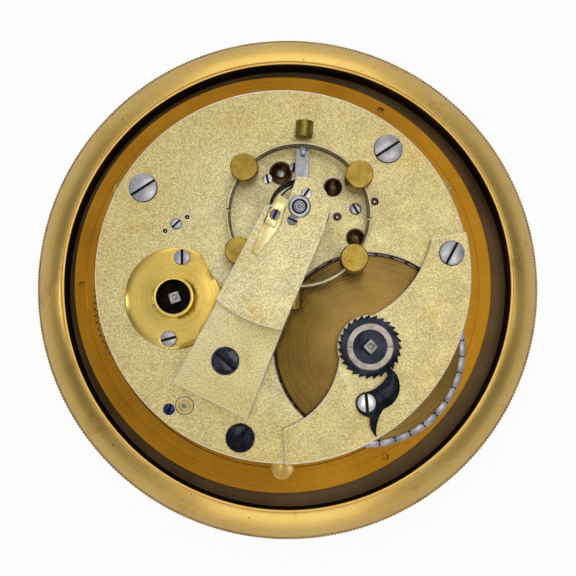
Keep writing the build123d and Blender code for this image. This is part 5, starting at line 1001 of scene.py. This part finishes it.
ARM_ANGLE = 86.4
RIM_R = 0.3527 * PLAN_R + 0.25
RIM_TOP = bottom("balance_wheel") + 2.9
RIM_LEAD = 89.0
RIM_CUT_ANGLE = 2.0
ARM_W = 3.0
ARM_T = 1.2
NUT_R = 1.95
NUT_LENGTH = 3.8


def balance():
    """The cut rim in its two metals, and its flat steel arm with its end blocks."""
    low, high = bottom("balance_wheel"), RIM_TOP
    outer, inner = [], []
    for start in (0.0, 180.0):
        a = ARM_ANGLE + start - RIM_LEAD
        b = a + 180.0 - RIM_CUT_ANGLE
        for group, r_out, r_in, z_high in ((outer, RIM_R, RIM_R - 0.55, high),
                                           (inner, RIM_R - 0.55, RIM_R - 1.0, high - 0.3)):
            loop = arc(BALANCE, r_out, a, b, 90) + arc(BALANCE, r_in, b, a, 90)
            group.append(plate([loop], low, z_high, 0.06))
    piece("balance_rim_brass", merged(outer), "polished_brass", "balance", ["balance_wheel"], 25,
          RIM_BRASS)
    piece("balance_rim_steel", merged(inner), "grey_steel", "balance", sharp=25, paint=RIM_STEEL)
    bar = [polar(ARM_W / 2, ARM_ANGLE + side, polar(RIM_R - 0.8, ARM_ANGLE + turn, BALANCE))
           for turn, side in ((0.0, 90.0), (0.0, -90.0), (180.0, -90.0), (180.0, 90.0))]
    data = plate([eased(bar, 0.2), ring(BALANCE, 1.25, 32)], low + 0.1, low + 0.1 + ARM_T, 0.08)
    piece("balance_arm", data, "grey_steel", "balance", sharp=25, paint=SCREW_GREY)
    blocks = []
    for turn in (0.0, 180.0):
        place = polar(RIM_R - 1.9, ARM_ANGLE + turn, BALANCE)
        corners = [polar(across, ARM_ANGLE + 90.0, polar(lengthways, ARM_ANGLE, place))
                   for lengthways, across in ((0.9, 0.55), (-0.9, 0.55), (-0.9, -0.55), (0.9, -0.55))]
        blocks.append(plate([corners], low + ARM_T, high - 0.4, 0.08))
    piece("arm_end_blocks", merged(blocks), "polished_steel", "balance", sharp=25)


def turned_tops():
    """The four round weights, and the two timing nuts that lie along the arm."""
    weights, nuts = [], []
    nut_z = 0.0
    for place, radius, low, high in solids("balance_weights"):
        if radius < 2.5:
            nut_z = (low + high) / 2
            continue
        weights.append(lathe(place, [
            (0.0, low + 0.02), (radius - 0.3, low + 0.02), (radius - 0.02, low + 0.3),
            (radius - 0.02, high - 0.3), (radius - 0.08, high - 0.12), (radius - 0.24, high - 0.02),
            (0.0, high - 0.02)], 64))
    half = NUT_LENGTH / 2
    body = lathe(AXIS, [(0.0, -half), (NUT_R - 0.15, -half), (NUT_R, -half + 0.15),
                        (NUT_R, half - 0.15), (NUT_R - 0.15, half), (0.0, half)], 48)
    for turn in (0.0, 180.0):
        place = polar(RIM_R + 2.9, ARM_ANGLE + turn, BALANCE)
        nuts.append(moved(body, (*place, nut_z), ARM_ANGLE, 90.0))
    piece("round_weights", merged(weights), "polished_brass", "balance", ["balance_weights"], 25,
          WEIGHT_GOLD)
    piece("timing_nuts", merged(nuts), "polished_brass", "balance", sharp=25, paint=WEIGHT_GOLD)


# Chain and barrel

CHAIN_LINK = 3.67
CHAIN_WIDTH = 1.75
CHAIN_GAP = 0.3
CHAIN_START = -250.0
CHAIN_TURNS = 3.25
CHAIN_RISE = 1.75
CHAIN_CLIMB = 1.6
CHAIN_CLIMB_ANGLE = 30.0


def link_outline(length, width):
    """A flat link: two round ends with a waist between them."""
    end = width / 2
    middle = length / 2 - end
    points = arc((middle, 0.0), end, -110.0, 110.0, 10) + [(0.0, end * 0.84)]
    return points + arc((-middle, 0.0), end, 70.0, 290.0, 10) + [(0.0, -end * 0.84)]


def chain_turns():
    """The turns of the chain that lie on the drum above the first one."""
    radius = DRUM_R + CHAIN_GAP + CHAIN_WIDTH / 2
    step = degrees(CHAIN_LINK / radius)
    outer = link_outline(CHAIN_LINK * 0.97, CHAIN_WIDTH)
    inner = link_outline(CHAIN_LINK, CHAIN_WIDTH * 0.8)
    plates = [plate([outer], 0.38, 0.72, 0.07), plate([outer], -0.72, -0.38, 0.07)]
    core = plate([inner], -0.3, 0.3, 0.05)
    first_z = top("fusee_chain") - 0.65
    shown, hidden = [], []
    for index in range(int(360.0 * CHAIN_TURNS / step)):
        for share, group, sources in ((0.0, shown, plates), (0.5, hidden, [core])):
            turn = (index + share) * step
            lift = min(turn / CHAIN_CLIMB_ANGLE, 1.0) * CHAIN_CLIMB
            z = first_z + lift + CHAIN_RISE * max(turn - CHAIN_CLIMB_ANGLE, 0.0) / 360.0
            place = (*polar(radius, CHAIN_START - turn, BARREL), z)
            group += [moved(source, place, CHAIN_START - turn + 90.0) for source in sources]
    piece("chain_turns_plates", merged(shown), "grey_steel", sharp=25, paint=CHAIN_GREY)
    # The inner links between the plates are painted dark as the shade between them.
    piece("chain_turns_links", merged(hidden), "grey_steel", sharp=25, paint=PAINTED_SHADE)


def collar():
    """The open collar on the ratchet, and a dark disc inside it that paints the shade of its hollow.
    """
    low, high, outer = bottom("ratchet_collar"), top("ratchet_collar"), reach("ratchet_collar")
    inner = outer * 0.70
    profile = [(inner, low), (outer, low), (outer, high - 0.2), (outer - 0.2, high),
               (inner + 0.15, high), (inner, high - 0.15)]
    piece("collar_ring", lathe(BARREL, profile, 96), "grey_steel", "barrel_ratchet",
          ["ratchet_collar"], paint=COLLAR_STEEL)
    # A black disc that stands in for the shade inside the collar.
    disc = tube(reach("barrel_arbor") * 0.5, inner + 0.05, low, low + 0.25)
    piece("collar_shade_floor", lathe(BARREL, disc, 64), "black_steel", "barrel_ratchet")


def barrel():
    """The turned cover of the barrel."""
    low, high = bottom("barrel_cover") + 0.02, top("barrel_cover")
    profile = [(COVER_HOLE_R, low), (DRUM_R, low), (DRUM_R, high - 0.3), (DRUM_R - 0.12, high - 0.08),
               (DRUM_R - 0.35, high), (COVER_HOLE_R + 0.2, high), (COVER_HOLE_R, high - 0.2)]
    piece("barrel_cover_turned", lathe(BARREL, profile), "barrel_brass", "barrel",
          ["barrel_cover"], 32, COVER_BROWN)


# Dial

ROMAN = ("XII", "I", "II", "III", "IIII", "V", "VI", "VII", "VIII", "IX", "X", "XI")
INK_T = 0.03
MINUTES_IN = 6.5
SECONDS_R = 10.4
UP_DOWN_R = 8.0
FOURTH = spot("fourth_arbor")
UP_DOWN_CENTRE = (2 * CENTRE[0] - FOURTH[0], 2 * CENTRE[1] - FOURTH[1])
TWELVE = direction(FOURTH, CENTRE)


def inked(*loops):
    """A thin printed shape on the dial's face."""
    return plate(loops, DIAL_LOW - INK_T, DIAL_LOW + INK_T, 0.005)


def mark(centre, angle, inner, outer, width):
    """A radial stroke."""
    a, b = (polar(radius, angle, centre) for radius in (inner, outer))
    return inked([polar(width / 2, angle + side, corner) for corner, side in
                  ((a, 90.0), (a, -90.0), (b, -90.0), (b, 90.0))])


def circle(centre, radius, width):
    return inked(ring(centre, radius, 128), ring(centre, radius - width, 128))


def numeral(text, centre, radius, angle, size):
    """A number that stands upright along the radius, read from the front of the dial."""
    curve = bpy.data.curves.new("numeral", "FONT")
    curve.body = text
    curve.size = size * MM
    curve.align_x = "CENTER"
    curve.align_y = "CENTER"
    curve.extrude = INK_T * MM
    curve.resolution_u = 4
    data = mesh_of(curve)
    x, y = polar(radius, angle, centre)
    a = radians(angle)
    data.transform(Matrix(((-sin(a), cos(a), 0.0, x * MM), (cos(a), sin(a), 0.0, y * MM),
                           (0.0, 0.0, -1.0, DIAL_LOW * MM), (0.0, 0.0, 0.0, 1.0))))
    return data


def scale(centre, radius, band, lines, start, step, count, group, strokes, inset=0.06):
    """Two circles with strokes between them, the first of each group a wide one."""
    parts = [circle(centre, radius, lines[0]), circle(centre, radius - band, lines[1])]
    for i in range(count):
        width = strokes[1] if i % group else strokes[0]
        parts.append(mark(centre, start + step * i, radius - band, radius - inset, width))
    return parts


def dial_print():
    """The hour, minute, seconds and winding scales, on the side away from the photograph."""
    rim = DIAL_R - MINUTES_IN
    parts = scale(CENTRE, rim, 1.9, (0.25, 0.18), TWELVE, 6.0, 60, 5, (0.8, 0.3), 0.1)
    parts += [numeral(text, CENTRE, rim - 6.1, TWELVE + 30.0 * hour, 7.5)
              for hour, text in enumerate(ROMAN)]
    parts += scale(FOURTH, SECONDS_R, 1.2, (0.12, 0.08), TWELVE, 6.0, 60, 5, (0.3, 0.12))
    parts += [numeral(str(10 * ten), FOURTH, SECONDS_R - 2.7, TWELVE + 60.0 * ten, 2.4)
              for ten in range(1, 7)]
    start = TWELVE - 140.0
    parts += scale(UP_DOWN_CENTRE, UP_DOWN_R, 1.0, (0.12, 0.08), start, 20.0, 15, 2, (0.3, 0.12))
    parts += [numeral(str(8 * i), UP_DOWN_CENTRE, UP_DOWN_R - 2.2, start + 40.0 * i, 2.0)
              for i in range(8)]
    piece("dial_print", merged(parts), "dial_silver", paint=INK)


def main():
    dress_cad()
    bezel()
    movement_ring()
    pillar_plate()
    top_plate()
    barrel_bridge()
    balance_cock()
    barrel()
    plate_screws()
    steady_pins()
    small_screws()
    bushes()
    fusee_cap()
    balance()
    turned_tops()
    chain_turns()
    collar()
    dial_print()


main()


# Stage

EYE = (0.1, -19.45, 309.4)
AIM = (0.1, -0.25, 10.0)
LENS = 75.0
SENSOR_W = 36.0
FLOOR_HALF = 3.0
FLOOR_DROP = 0.05
FLOOR_SHOWN = 0.94

# Each lamp's name, place and size in metres, and power
LAMPS = (("soft_high", (0.08, 0.04, 0.8), 0.25, 0.26), ("soft_back", (0.0, 0.7, 0.35), 0.6, 0.7),
         ("soft_front", (0.0, -0.7, 0.35), 0.6, 0.65), ("soft_left", (-0.70, 0.0, 0.5), 0.12, 0.35),
         ("soft_right", (0.70, -0.05, 0.45), 0.12, 0.12))


def aimed(name, data, place, way):
    """A lamp or camera at a place, turned to look along way."""
    obj = added(name, data)
    obj.location = place
    obj.rotation_mode = "QUATERNION"
    obj.rotation_quaternion = way.to_track_quat("-Z", "Y")
    return obj


def studio():
    """White to the camera; to all other light a soft room, darker at its sides and front."""
    world = bpy.data.worlds.new("studio")
    bpy.context.scene.world = world
    world.use_nodes = True
    world.node_tree.nodes.clear()
    room = Nodes(world.node_tree)
    parts = room.node("SeparateXYZ", Vector=room.node("TexCoord").outputs["Generated"]).outputs
    sides = room.span(room.worked("Math", "ABSOLUTE", parts["X"]), 0.3, 0.9, 0.92, 0.16)
    front = room.span(parts["Y"], -0.4, 0.05, 0.86, 1.0)
    soft = room.node("Background", Strength=room.worked("Math", "MULTIPLY", sides, front))
    shown = room.node("Background", Color=WHITE)
    room.blended("OutputWorld", room.node("LightPath").outputs["Is Camera Ray"], soft, shown)
    for name, place, size, power in LAMPS:
        lamp = bpy.data.lights.new(name, "AREA")
        lamp.size = size
        lamp.energy = power
        aimed(name, lamp, place, -Vector(place))


def floor():
    """A pale floor, nearly white to the camera, that keeps the object's shadow."""
    half = FLOOR_HALF
    data = bpy.data.meshes.new("floor")
    data.from_pydata([(-half, -half, 0), (half, -half, 0), (half, half, 0), (-half, half, 0)], [],
                     [(0, 1, 2, 3)])
    obj = added("floor", data)
    obj.location.z = -FLOOR_DROP * MM
    paint = bpy.data.materials.new("pale floor")
    paint.use_nodes = True
    paint.node_tree.nodes.clear()
    cover = Nodes(paint.node_tree)
    rays = cover.node("LightPath").outputs["Is Camera Ray"]
    cloth = cover.node("BsdfDiffuse", Color=(0.9, 0.9, 0.9, 1))
    cover.blended("OutputMaterial", cover.worked("Math", "MULTIPLY", rays, FLOOR_SHOWN), cloth,
                  cover.node("Emission", Color=WHITE))
    data.materials.append(paint)


def camera():
    """The photograph's viewpoint."""
    data = bpy.data.cameras.new("camera")
    data.lens = LENS
    data.sensor_width = SENSOR_W
    eye = Vector(EYE) * MM
    bpy.context.scene.camera = aimed("camera", data, eye, Vector(AIM) * MM - eye)


studio()
floor()
camera()
bpy.context.scene.view_settings.view_transform = "Standard"
